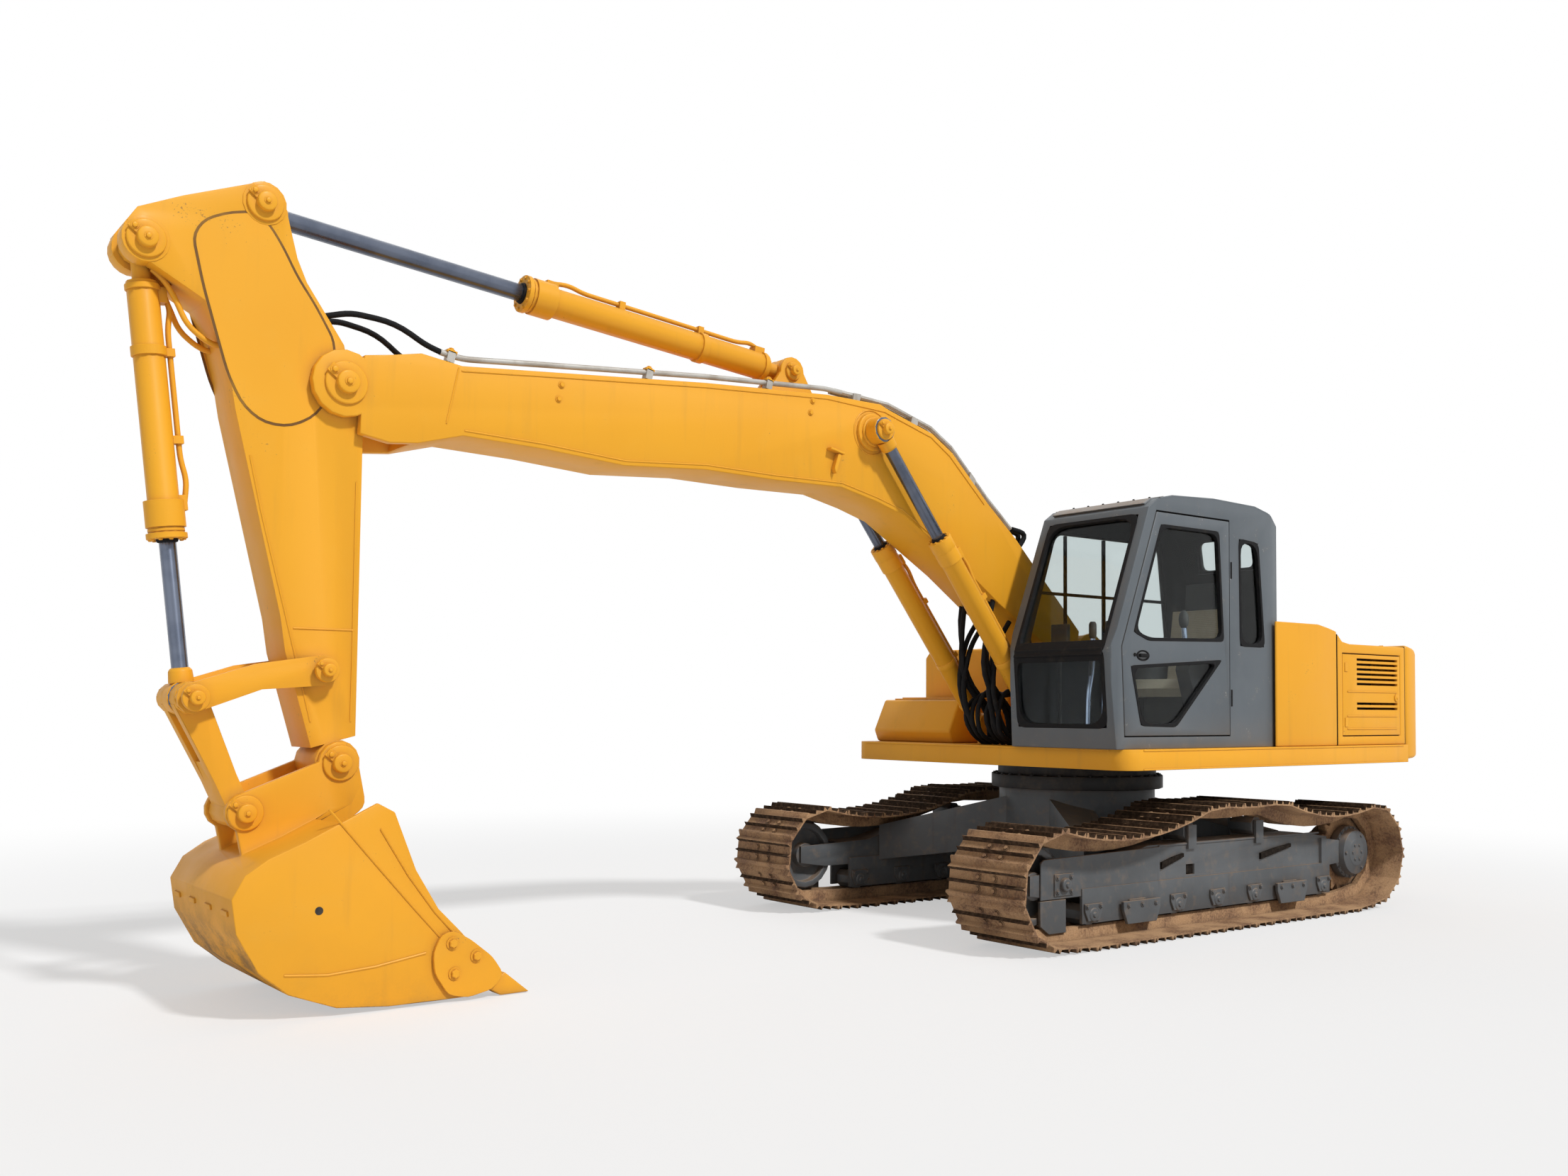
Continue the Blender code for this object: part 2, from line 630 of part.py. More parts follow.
def leg(front, side):
    """A box leg from inside the hub to the track frame."""
    sections = ((LEG_ROOT_Y, LEG_ROOT_X, LEG_ROOT_HALF, LEG_ROOT_LOW, LEG_ROOT_HIGH),
                (LEG_END_Y, LEG_END_X, LEG_END_HALF, LEG_END_LOW, LEG_END_HIGH))
    shape = bmesh.new()
    rings = []
    for y, x, half, low, high in sections:
        corners = ((x - half, low), (x + half, low), (x + half, high), (x - half, high))
        rings.append([shape.verts.new((front * a, side * y, b)) for a, b in corners])
    shape.faces.new(rings[0])
    shape.faces.new(rings[1])
    for i in range(4):
        j = (i + 1) % 4
        shape.faces.new((rings[0][i], rings[0][j], rings[1][j], rings[1][i]))
    return finished(shape)


hub_top = RING_BOTTOM - SEAT_GAP
hub = turned([(HUB_BOTTOM, 0), (HUB_BOTTOM, HUB_RADIUS), (hub_top, HUB_RADIUS), (hub_top, 0)], HUB_SIDES, "Z")
legs = [leg(front, side) for front in (1, -1) for side in (1, -1)]
piece("car_body", fused([hub] + legs), "frame_grey", ground)
ring_top = RING_TOP - SEAT_GAP
ring = [(RING_BOTTOM, RING_BORE), (RING_BOTTOM, RING_RADIUS), (ring_top, RING_RADIUS), (ring_top, RING_BORE)]
piece("slew_ring", turned(ring, HUB_SIDES, "Z"), "dark_steel", ground)

# Deck: floor plate with rounded front corners, turntable below and the boom's two bracket plates

DECK_CORNER = 0.140
deck_plan = ([(DECK_REAR, -DECK_HALF)]
             + arc(DECK_FRONT - DECK_CORNER, -DECK_HALF + DECK_CORNER, DECK_CORNER, -90, 0, 4)
             + arc(DECK_FRONT - DECK_CORNER, DECK_HALF - DECK_CORNER, DECK_CORNER, 0, 90, 4)
             + [(DECK_REAR, DECK_HALF)])
FOOT_BOSS = 0.160
RAM_LUG = 0.085
BRACKET_BACK = 0.540     # from the boom's foot pin back to the bracket's rear corner
SHOULDER_BACK = 0.250    # and to its shoulder
SHOULDER_DOWN = 0.100
WAIST_AHEAD = 0.300      # from the foot pin to the hollow between the two pins
WAIST_DOWN = 0.410
BRACKET_OUTER = RAM_Y - RAM_EYE_HALF - SEAT_GAP
bracket_root = DECK_TOP - FUSE_DEPTH
bracket_side = ([(FOOT_X - BRACKET_BACK, bracket_root), (FOOT_X - SHOULDER_BACK, FOOT_Z - SHOULDER_DOWN)]
                + arc(FOOT_X, FOOT_Z, FOOT_BOSS, 160, -10, 7)
                + [(FOOT_X + WAIST_AHEAD, FOOT_Z - WAIST_DOWN)]
                + arc(RAM_FOOT_X, RAM_FOOT_Z, RAM_LUG, 100, -20, 5)
                + [(RAM_FOOT_X + RAM_LUG, bracket_root)])
turntable = [(RING_TOP, 0), (RING_TOP, TURNTABLE_RADIUS), (DECK_BOTTOM + FUSE_DEPTH, TURNTABLE_RADIUS),
             (DECK_BOTTOM + FUSE_DEPTH, 0)]
deck_shapes = [prism(deck_plan, DECK_BOTTOM, DECK_TOP, "Z"), turned(turntable, HUB_SIDES, "Z")]
for side in (1, -1):
    deck_shapes.append(prism(bracket_side, *sorted((side * BRACKET_INNER, side * BRACKET_OUTER))))
piece("deck_frame", fused(deck_shapes), "machine_orange", slew)

# Counterweight: side outline cut by a plan with rounded rear corners

TAIL_FRONT = DECK_REAR - SEAT_GAP
TAIL_BOTTOM = 1.130
TAIL_REACH = TAIL_FRONT - TAIL_REAR
# shares of the reach back from the front face, and of the height
TAIL_SHARES = ((0, 0), (1, 0.02), (1, 0.65), (0.88, 0.915), (0.51, 0.97), (0.09, 1), (0, 1))
tail_side = [(TAIL_FRONT - back * TAIL_REACH, TAIL_BOTTOM + up * (TAIL_TOP - TAIL_BOTTOM)) for back, up in TAIL_SHARES]
tail_plan = ([(TAIL_FRONT + CUT_OVERRUN, -HOUSING_HALF), (TAIL_FRONT + CUT_OVERRUN, HOUSING_HALF)]
             + arc(TAIL_REAR + TAIL_CORNER, HOUSING_HALF - TAIL_CORNER, TAIL_CORNER, 90, 180, 6)
             + arc(TAIL_REAR + TAIL_CORNER, -HOUSING_HALF + TAIL_CORNER, TAIL_CORNER, 180, 270, 6))
tail = common(prism(tail_side, -HOUSING_HALF - CUT_OVERRUN, HOUSING_HALF + CUT_OVERRUN),
              prism(tail_plan, TAIL_BOTTOM - CUT_OVERRUN, TAIL_TOP + CUT_OVERRUN, "Z"))
piece("counterweight", tail, "machine_orange", slew)

# Engine housing: sheet walls open below, with a side door each side and a lid on top

TAIL_SLOT = 0.008        # dark slot between the hood and the counterweight
HOUSING_REAR = DECK_REAR + TAIL_SLOT
HOUSING_FLOOR = DECK_TOP + SEAT_GAP
RAMP_LONG = 0.180        # the hood rises to the housing in front of it in two folds
RAMP_RISE = 0.075
FOLD_LONG = 0.070
FOLD_RISE = 0.017
FRAME_WIDE = 0.070       # sheet left round the side doors
LID_HALF = 0.750
LID_FRONT = BULKHEAD_X - RAMP_LONG - HOUSING_WALL * 2
LID_REAR = HOUSING_REAR + FRAME_WIDE
housing_side = [(BULKHEAD_X, HOUSING_FLOOR), (HOUSING_REAR, HOUSING_FLOOR), (HOUSING_REAR, HOOD_TOP),
                (BULKHEAD_X - RAMP_LONG, HOOD_TOP), (BULKHEAD_X - FOLD_LONG, HOOD_TOP + FOLD_RISE),
                (BULKHEAD_X, HOOD_TOP + RAMP_RISE)]
DOOR_FRONT = BULKHEAD_X - FRAME_WIDE
DOOR_REAR = HOUSING_REAR + FRAME_WIDE
DOOR_LOW = DECK_TOP + FRAME_WIDE
DOOR_HIGH = HOOD_TOP - FRAME_WIDE
hollow = block((HOUSING_REAR + HOUSING_WALL, -HOUSING_HALF + HOUSING_WALL, HOUSING_FLOOR - CUT_OVERRUN),
               (BULKHEAD_X - HOUSING_WALL, HOUSING_HALF - HOUSING_WALL, HOOD_TOP - HOUSING_WALL))
openings = [block((DOOR_REAR, -HOUSING_HALF - CUT_OVERRUN, DOOR_LOW),
                  (DOOR_FRONT, HOUSING_HALF + CUT_OVERRUN, DOOR_HIGH)),
            block((LID_REAR, -LID_HALF, HOOD_TOP - HOUSING_WALL - CUT_OVERRUN),
                  (LID_FRONT, LID_HALF, HOOD_TOP + CUT_OVERRUN))]
housing = fused([prism(housing_side, -HOUSING_HALF, HOUSING_HALF)], [hollow] + openings)
piece("engine_housing", housing, "machine_orange", slew)

ENGINE_REAR = -2.280
ENGINE_FRONT = -1.620
ENGINE_RIGHT = -0.600
ENGINE_LEFT = 0.500
ENGINE_TOP = 1.860
COOLER_Y = 1.020
COOLER_THICK = 0.110
engine = block((ENGINE_REAR, ENGINE_RIGHT, HOUSING_FLOOR), (ENGINE_FRONT, ENGINE_LEFT, ENGINE_TOP))
cooler = block((ENGINE_REAR, COOLER_Y, HOUSING_FLOOR), (ENGINE_FRONT, COOLER_Y + COOLER_THICK, DOOR_HIGH))
piece("engine_block", engine, "dark_steel", slew)
piece("cooler_core", cooler, "dark_steel", slew)

# Side doors with louvre slots, hinged at their front edge; lid hinged at its front edge

LOUVRE_FRONT = -1.690
LOUVRE_REAR = -2.280
LOUVRE_PITCH = 0.038
LOUVRE_OPEN = 0.018
LOUVRE_HIGH_Z = 1.715
LOUVRE_LOW_Z = 1.525
# bottom of the first slot, slots in the group
LOUVRE_GROUPS = ((LOUVRE_HIGH_Z, 6), (LOUVRE_LOW_Z, 2))


def side_door(side, name):
    """A sheet panel in the housing's side opening. Its carrier stands on its hinge."""
    hinge_x, hinge_y = DOOR_FRONT - SEAT_GAP, side * HOUSING_HALF
    axis = carrier(name + "_axis", hinge_x, 0, 0, slew, hinge_y)
    low_y, high_y = sorted((0, -side * HOUSING_WALL))
    panel = block((DOOR_REAR + DOOR_GAP - hinge_x, low_y, DOOR_LOW + DOOR_GAP), (0, high_y, DOOR_HIGH - DOOR_GAP))
    slots = []
    for bottom_z, count in LOUVRE_GROUPS:
        for row in range(count):
            low = bottom_z + row * LOUVRE_PITCH
            slots.append(block((LOUVRE_REAR - hinge_x, -HOUSING_HALF, low),
                               (LOUVRE_FRONT - hinge_x, HOUSING_HALF, low + LOUVRE_OPEN)))
    piece(name, fused([panel], slots), "machine_orange", axis)


side_door(1, "side_door_left")
side_door(-1, "side_door_right")
lid_hinge = LID_FRONT - SEAT_GAP
lid_axis = carrier("engine_lid_axis", lid_hinge, HOOD_TOP, 0, slew)
lid = block((LID_REAR + DOOR_GAP - lid_hinge, -LID_HALF + DOOR_GAP, -HOUSING_WALL), (0, LID_HALF - DOOR_GAP, 0))
piece("engine_lid", lid, "machine_orange", lid_axis)

# Housings in front of the bulkhead: behind the cab, over the valves, tanks and the tool box

MID_FRONT = CAB_REAR - PANEL_GAP
MID_REAR = BULKHEAD_X + PANEL_GAP
WING_FRONT = -0.620
WING_THICK = 0.020
VALVE_FRONT = -0.440
VALVE_TOP = 1.900
TANK_INNER = -0.400
TANK_SPLIT = -0.480
TANK_FRONT = 0.330
TANK_TOP = 2.000
TANK_CHAMFER = 0.060
BOX_FRONT = 0.900
BOX_INNER = -0.480
BOX_TOP = 1.585
# side outlines in shares of a housing's length and height, from its lower rear corner
MID_SHARES = ((0, 0), (1, 0), (1, 1), (0.43, 1), (0.20, 0.977), (0, 0.951))
VALVE_SHARES = ((0, 0), (1, 0), (1, 0.77), (0.81, 1), (0, 1))
BOX_SHARES = ((0, 0), (0.93, 0), (1, 0.27), (0.79, 1), (0, 1))


def housing_outline(shares, rear, front, top):
    return scaled(shares, front - rear, top - HOUSING_FLOOR, rear, HOUSING_FLOOR)


wing = block((MID_FRONT - FUSE_DEPTH, HOUSING_HALF - WING_THICK, HOUSING_FLOOR), (WING_FRONT, HOUSING_HALF, MID_TOP))
middle = prism(housing_outline(MID_SHARES, MID_REAR, MID_FRONT, MID_TOP), CAB_INNER_Y + PANEL_GAP, HOUSING_HALF)
piece("side_housing", fused([middle, wing]), "machine_orange", slew)
valve = prism(housing_outline(VALVE_SHARES, MID_REAR, VALVE_FRONT, VALVE_TOP), TANK_INNER + PANEL_GAP,
              CAB_INNER_Y - PANEL_GAP)
piece("valve_cover", valve, "machine_orange", slew)


def tank(x_low, x_high, top):
    """A sheet metal tank with its long upper edges folded over."""
    inner, outer = TANK_INNER, -HOUSING_HALF
    outline = [(outer, HOUSING_FLOOR), (inner, HOUSING_FLOOR), (inner, top - TANK_CHAMFER),
               (inner - TANK_CHAMFER, top), (outer + TANK_CHAMFER, top), (outer, top - TANK_CHAMFER)]
    return prism(outline, x_low, x_high, "X")


piece("hydraulic_tank", tank(MID_REAR, TANK_SPLIT - PANEL_GAP / 2, TANK_TOP), "machine_orange", slew)
piece("fuel_tank", tank(TANK_SPLIT + PANEL_GAP / 2, TANK_FRONT, TANK_TOP), "machine_orange", slew)
tool_box = prism(housing_outline(BOX_SHARES, TANK_FRONT + PANEL_GAP, BOX_FRONT, BOX_TOP), -HOUSING_HALF, BOX_INNER)
piece("tool_box", tool_box, "machine_orange", slew)

# Cab: a rounded steel shell with its floor, cut for the door and the windows

CAB_FLOOR = DECK_TOP + SEAT_GAP
# every cab outline is in shares of the cab's length and height, from its lower rear corner
CAB_SHARES = ((0, 0), (0.975, 0), (1, 0.371), (0.807, 0.931), (0.762, 0.966), (0.678, 0.986), (0.45, 1),
              (0.208, 0.994), (0.119, 0.971), (0.059, 0.92), (0.03, 0.743), (0, 0.52))
DOOR_SHARES = ((0.364, 0.046), (0.936, 0.046), (0.950, 0.389), (0.767, 0.92), (0.364, 0.92))
UPPER_PANE_SHARES = ((0.401, 0.429), (0.812, 0.417), (0.886, 0.446), (0.743, 0.866), (0.426, 0.866))
LOWER_PANE_SHARES = ((0.668, 0.086), (0.851, 0.091), (0.901, 0.314), (0.416, 0.349))
QUARTER_PANE_SHARES = ((0.158, 0.414), (0.302, 0.414), (0.307, 0.849), (0.193, 0.840))
RIGHT_PANE_SHARES = ((0.119, 0.429), (0.911, 0.40), (0.762, 0.886), (0.168, 0.886))


def cab_outline(shares):
    return scaled(shares, CAB_LENGTH, CAB_HEIGHT, CAB_REAR, CAB_FLOOR)


def cab_volume(wall):
    """The cab's outside, or its inside when a wall is given."""
    side = inset(cab_outline(CAB_SHARES), wall)
    low_x, high_x = CAB_REAR + wall, CAB_REAR + CAB_LENGTH - wall
    low_y, high_y = CAB_INNER_Y + wall, CAB_OUTER_Y - wall
    rear, front = CAB_CORNER - wall, CAB_FRONT_CORNER
    plan = (arc(low_x + rear, low_y + rear, rear, 180, 270, 4) + arc(high_x - front, low_y + front, front, 270, 360, 2)
            + arc(high_x - front, high_y - front, front, 0, 90, 2) + arc(low_x + rear, high_y - rear, rear, 90, 180, 4))
    return common(prism(side, low_y - CUT_OVERRUN, high_y + CUT_OVERRUN),
                  prism(plan, CAB_FLOOR + wall - CUT_OVERRUN, CAB_FLOOR + CAB_HEIGHT + CUT_OVERRUN, "Z"))


def edge_share(start, stop, share):
    """A point part of the way along an edge of the cab's side outline."""
    a, b = Vector(cab_outline(CAB_SHARES)[start]), Vector(cab_outline(CAB_SHARES)[stop])
    return tuple(a.lerp(b, share))


# name: first and last corner of the outline edge, and the pane's start and end share of it
FACE_PANE_SHARES = {"screen_low": (1, 2, 0.22, 0.94), "screen_high": (2, 3, 0.06, 0.95), "rear_window": (9, 10, 0.10, 0.92)}
PANE_MARGIN = 0.075


def face_pane(name, near, far, gap):
    """A pane, or the hole for it, in a face that runs across the cab."""
    start, stop, low, high = FACE_PANE_SHARES[name]
    a, b = Vector(edge_share(start, stop, low)), Vector(edge_share(start, stop, high))
    ahead = (b - a).normalized() * gap
    outline = along_edge(tuple(a + ahead), tuple(b - ahead), near, far)
    margin = PANE_MARGIN + gap + (CAB_CORNER - PANE_MARGIN if name == "rear_window" else 0)
    return prism(outline, CAB_INNER_Y + margin, CAB_OUTER_Y - margin)


SIDE_PANES = {"quarter": (QUARTER_PANE_SHARES, 1), "right_window": (RIGHT_PANE_SHARES, -1)}
shell = boolean(cab_volume(0), [cab_volume(CAB_WALL)], "DIFFERENCE")
door_hole = prism(cab_outline(DOOR_SHARES), CAB_OUTER_Y - CAB_WALL * 2, CAB_OUTER_Y + CUT_OVERRUN)
cuts = [door_hole] + [face_pane(name, -CUT_OVERRUN, CAB_WALL + CUT_OVERRUN, 0) for name in FACE_PANE_SHARES]
for shares, side in SIDE_PANES.values():
    edge = CAB_OUTER_Y if side > 0 else CAB_INNER_Y
    low, high = sorted((edge + side * CUT_OVERRUN, edge - side * (CAB_WALL + CUT_OVERRUN)))
    cuts.append(prism(cab_outline(shares), low, high))
piece("cab_shell", boolean(shell, cuts, "DIFFERENCE"), "cab_grey", slew)

pane_depth = CAB_WALL / 2 - GLASS_THICK / 2
for name in FACE_PANE_SHARES:
    piece(name + "_glass", face_pane(name, pane_depth, pane_depth + GLASS_THICK, SEAT_GAP), "tinted_glass", slew)
for name, (shares, side) in SIDE_PANES.items():
    edge = CAB_OUTER_Y if side > 0 else CAB_INNER_Y
    low, high = sorted((edge - side * pane_depth, edge - side * (pane_depth + GLASS_THICK)))
    piece(name + "_glass", prism(inset(cab_outline(shares), SEAT_GAP), low, high), "tinted_glass", slew)

# Cab door, hinged at its rear edge

DOOR_HINGE_X = cab_outline(DOOR_SHARES)[0][0] + SEAT_GAP
cab_door_axis = carrier("cab_door_axis", DOOR_HINGE_X, 0, 0, slew, CAB_OUTER_Y)


def on_door(outline):
    return [(x - DOOR_HINGE_X, z) for x, z in outline]


panel_side = on_door(inset(cab_outline(DOOR_SHARES), DOOR_GAP))
panel_side[0], panel_side[-1] = (0, panel_side[0][1]), (0, panel_side[-1][1])
door_panel = prism(panel_side, -CAB_WALL, 0)
door_cuts = [prism(on_door(cab_outline(shares)), -CAB_WALL - CUT_OVERRUN, CUT_OVERRUN)
             for shares in (UPPER_PANE_SHARES, LOWER_PANE_SHARES)]
piece("cab_door", fused([door_panel], door_cuts), "cab_grey", cab_door_axis)
for name, shares in (("door_glass_upper", UPPER_PANE_SHARES), ("door_glass_lower", LOWER_PANE_SHARES)):
    pane = prism(on_door(inset(cab_outline(shares), SEAT_GAP)), -pane_depth - GLASS_THICK, -pane_depth)
    piece(name, pane, "tinted_glass", cab_door_axis)

# Seat and controls

SEAT_X = -0.150
SEAT_Y = (CAB_INNER_Y + CAB_OUTER_Y) / 2
SEAT_HALF = 0.240
MAT_THICK = 0.012
MAT_REAR = SEAT_X - SEAT_HALF
MAT_FRONT = 0.900
INSIDE_FLOOR = CAB_FLOOR + CAB_WALL + SEAT_GAP
SEAT_FLOOR = INSIDE_FLOOR + MAT_THICK + SEAT_GAP
# side outlines in shares of the seat's half width, from the seat's middle at the floor
CUSHION_SHARES = ((-1.08, 1.20), (1.12, 1.25), (1.20, 1.50), (1.00, 1.79), (-1.00, 1.67))
BACKREST_SHARES = ((-1.08, 1.25), (-0.58, 1.58), (-0.92, 3.96), (-1.38, 4.00))
HEADREST_SHARES = ((-1.33, 3.90), (-0.96, 3.90), (-1.04, 4.79), (-1.42, 4.79))
CONSOLE_SHARES = ((-0.83, 0), (0.83, 0), (1.58, 2.08), (1.50, 2.42), (-0.83, 2.33))


def seat_side(shares):
    return scaled(shares, SEAT_HALF, SEAT_HALF, SEAT_X, SEAT_FLOOR)


PEDESTAL_SHARES = (0.8, 0.7, 1.3)
BACKREST_SHARE = 0.92
HEADREST_SHARE = 0.5
foot_x, foot_y, foot_z = (share * SEAT_HALF for share in PEDESTAL_SHARES)
seat_shapes = [block((SEAT_X - foot_x, SEAT_Y - foot_y, SEAT_FLOOR), (SEAT_X + foot_x, SEAT_Y + foot_y, SEAT_FLOOR + foot_z))]
for shares, half_share in ((CUSHION_SHARES, 1), (BACKREST_SHARES, BACKREST_SHARE), (HEADREST_SHARES, HEADREST_SHARE)):
    half = half_share * SEAT_HALF
    seat_shapes.append(prism(seat_side(shares), SEAT_Y - half, SEAT_Y + half))
piece("seat", fused(seat_shapes), "seat_cloth", slew)

CONSOLE_GAP = 0.010
CONSOLE_WIDTH = 0.110
LEVER_RADIUS = 0.016
LEVER_HEIGHT = 0.800
TRAVEL_X = 0.780
TRAVEL_HEIGHT = 0.620
PEDAL_HALF = 0.045
PEDAL_LENGTH = 0.160
PEDAL_SPREAD_SHARE = 1.6
LEVER_SHARES = (1.3, 2.0)
control_shapes = [block((MAT_REAR, SEAT_Y - SEAT_HALF - CONSOLE_WIDTH, INSIDE_FLOOR),
                        (MAT_FRONT, SEAT_Y + SEAT_HALF + CONSOLE_WIDTH, INSIDE_FLOOR + MAT_THICK))]
for side in (1, -1):
    low, high = sorted((SEAT_Y + side * (SEAT_HALF + CONSOLE_GAP),
                        SEAT_Y + side * (SEAT_HALF + CONSOLE_GAP + CONSOLE_WIDTH)))
    middle = (low + high) / 2
    control_shapes.append(prism(scaled(CONSOLE_SHARES, SEAT_HALF, SEAT_HALF, SEAT_X, INSIDE_FLOOR), low, high))
    lever_x, lever_z = SEAT_X + SEAT_HALF * LEVER_SHARES[0], INSIDE_FLOOR + SEAT_HALF * LEVER_SHARES[1]
    control_shapes.append(tube([(lever_x, middle, lever_z),
                                (lever_x + LEVER_RADIUS * 2, middle, INSIDE_FLOOR + LEVER_HEIGHT)], LEVER_RADIUS))
    y = SEAT_Y + side * PEDAL_HALF * PEDAL_SPREAD_SHARE
    control_shapes.append(block((TRAVEL_X - PEDAL_LENGTH / 2, y - PEDAL_HALF, INSIDE_FLOOR),
                                (TRAVEL_X + PEDAL_LENGTH / 2, y + PEDAL_HALF, INSIDE_FLOOR + PEDAL_HALF)))
    control_shapes.append(tube([(TRAVEL_X, y, INSIDE_FLOOR + PEDAL_HALF / 2),
                                (TRAVEL_X - PEDAL_HALF, y, INSIDE_FLOOR + TRAVEL_HEIGHT)], LEVER_RADIUS))
piece("floor_controls", fused(control_shapes), "black_plastic", slew)

# Boom: a closed box beam, its foot between the brackets, its tip forked for the arm

# shares of the boom's pin distance along and above the line between the end pins
BOOM_TOP_SHARES = ((0.990, 0.030), (0.965, 0.040), (0.940, 0.051), (0.900, 0.054), (0.820, 0.079), (0.639, 0.135),
                   (0.481, 0.180), (0.405, 0.196), (0.391, 0.194), (0.321, 0.190), (0.284, 0.178), (0.214, 0.137),
                   (0.158, 0.109), (0.020, 0.026))
BOOM_LOW_SHARES = ((0.020, -0.024), (0.168, 0.022), (0.229, 0.046), (0.342, 0.082), (0.387, 0.085), (0.440, 0.085),
                   (0.530, 0.064), (0.620, 0.046), (0.714, 0.019), (0.803, 0.006), (0.885, -0.009),
                   (0.925, -0.030), (0.950, -0.038), (0.978, -0.039))
BOOM_FOOT_BOSS = 0.150
BOOM_TIP_BOSS = 0.175
boom_side = scaled(BOOM_LOW_SHARES + BOOM_TOP_SHARES, BOOM_LENGTH, BOOM_LENGTH)
foot_half = BRACKET_INNER - SEAT_GAP
BOSS_SIDES = 16
ARM_LUG_IN = RAM_EYE_HALF + SEAT_GAP
ARM_LUG_OUT = 0.090
ARM_LUG_RADIUS = 0.095
BOOM_RAM_BOSS = 0.100
LUG_REAR = 0.260         # where the arm cylinder's lugs meet the boom, back and ahead of their pin
LUG_REAR_DOWN = 0.160
LUG_AHEAD = 0.180
LUG_AHEAD_DOWN = 0.240
lug_side = ([(ARM_FOOT_ALONG - LUG_REAR, ARM_FOOT_ABOVE - LUG_REAR_DOWN),
             (ARM_FOOT_ALONG + LUG_AHEAD, ARM_FOOT_ABOVE - LUG_AHEAD_DOWN)]
            + arc(ARM_FOOT_ALONG, ARM_FOOT_ABOVE, ARM_LUG_RADIUS, -20, 170, 8))
boom_shapes = [prism(boom_side, -BOOM_HALF, BOOM_HALF), disc(0, 0, BOOM_FOOT_BOSS, -foot_half, foot_half, BOSS_SIDES),
               disc(BOOM_LENGTH, 0, BOOM_TIP_BOSS, -BOOM_HALF, BOOM_HALF, BOSS_SIDES),
               disc(BOOM_RAM_ALONG, BOOM_RAM_ABOVE, BOOM_RAM_BOSS, -BRACKET_OUTER, BRACKET_OUTER, BOSS_SIDES)]
boom_shapes += [prism(lug_side, *sorted((side * ARM_LUG_IN, side * ARM_LUG_OUT))) for side in (1, -1)]
fork_high = BOOM_TIP_BOSS * 2
fork_slot = block((BOOM_LENGTH - FORK_DEPTH, -FORK_HALF, -fork_high),
                  (BOOM_LENGTH + fork_high, FORK_HALF, fork_high))
piece("boom", fused(boom_shapes, [fork_slot]), "machine_orange", boom_axis)

# Arm: side plates closed to a box, with the cylinder lugs slotted down the middle

# shares of the arm's pin distance along it and out from it, in order round the arm
ARM_SHARES = ((0.930, -0.048), (0.670, -0.052), (0.120, -0.058), (-0.107, -0.004), (-0.256, 0.097), (-0.314, 0.122),
              (-0.393, 0.142), (-0.448, 0.155), (-0.486, 0.177), (-0.498, 0.210), (-0.417, 0.407),
              (-0.366, 0.513), (-0.321, 0.542), (-0.270, 0.545), (-0.165, 0.351), (-0.103, 0.318), (0.015, 0.288),
              (0.099, 0.274), (0.622, 0.153), (0.711, 0.140), (0.960, 0.070))
ARM_TIP_BOSS = 0.118
ARM_PIN_BOSS = 0.145
IDLER_BOSS = 0.080
ARM_SLOT_HALF = 0.0583
arm_side = scaled(ARM_SHARES, ARM_LENGTH, ARM_LENGTH)
arm_boss = FORK_HALF - SEAT_GAP
idler_seat = IDLER_IN - SEAT_GAP
# along, out, radius, half width and sides of each round boss
ARM_BOSSES = ((0, 0, ARM_PIN_BOSS, arm_boss, BOSS_SIDES), (ARM_LENGTH, 0, ARM_TIP_BOSS, arm_boss, BOSS_SIDES),
              (CURL_FOOT_ALONG, CURL_FOOT_OUT, CURL_LUG_RADIUS, arm_boss, CURL_LUG_SIDES),
              (ARM_RAM_ALONG, ARM_RAM_OUT, CURL_LUG_RADIUS, arm_boss, BOSS_SIDES),
              (IDLER_PIN_ALONG, IDLER_PIN_OUT, IDLER_BOSS, idler_seat, BOSS_SIDES))
arm_shapes = [prism(arm_side, -ARM_HALF, ARM_HALF)]
arm_shapes += [disc(along, out, radius, -half, half, sides) for along, out, radius, half, sides in ARM_BOSSES]
# the slot that the two cylinder eyes need, in shares of the arm's pin distance
SLOT_SHARES = ((-0.60, 0.06), (-0.322, 0.095), (-0.318, 0.335), (-0.200, 0.420), (-0.10, 0.62), (-0.60, 0.62))
arm_slot = prism(scaled(SLOT_SHARES, ARM_LENGTH, ARM_LENGTH), -ARM_SLOT_HALF, ARM_SLOT_HALF)
arm_body = fused(arm_shapes, [arm_slot])
EYE_SEAT = 0.070         # radius of the washers that fill the slot beside the two eyes
washers = []
for side in (1, -1):
    low, high = sorted((side * (RAM_EYE_HALF + SEAT_GAP), side * (ARM_SLOT_HALF + FUSE_DEPTH)))
    for along, out in ((CURL_FOOT_ALONG, CURL_FOOT_OUT), (ARM_RAM_ALONG, ARM_RAM_OUT)):
        washers.append(disc(along, out, EYE_SEAT, low, high))
piece("arm", fused([arm_body] + washers), "machine_orange", arm_axis)

# Cylinders: a barrel hinged at its foot, a rod that slides in its gland

RAM_SIDES = 12
GLAND_LENGTH = 0.090
GLAND_PROUD = 0.010
BARREL_CAP = 0.170
CAVITY_START = 0.200


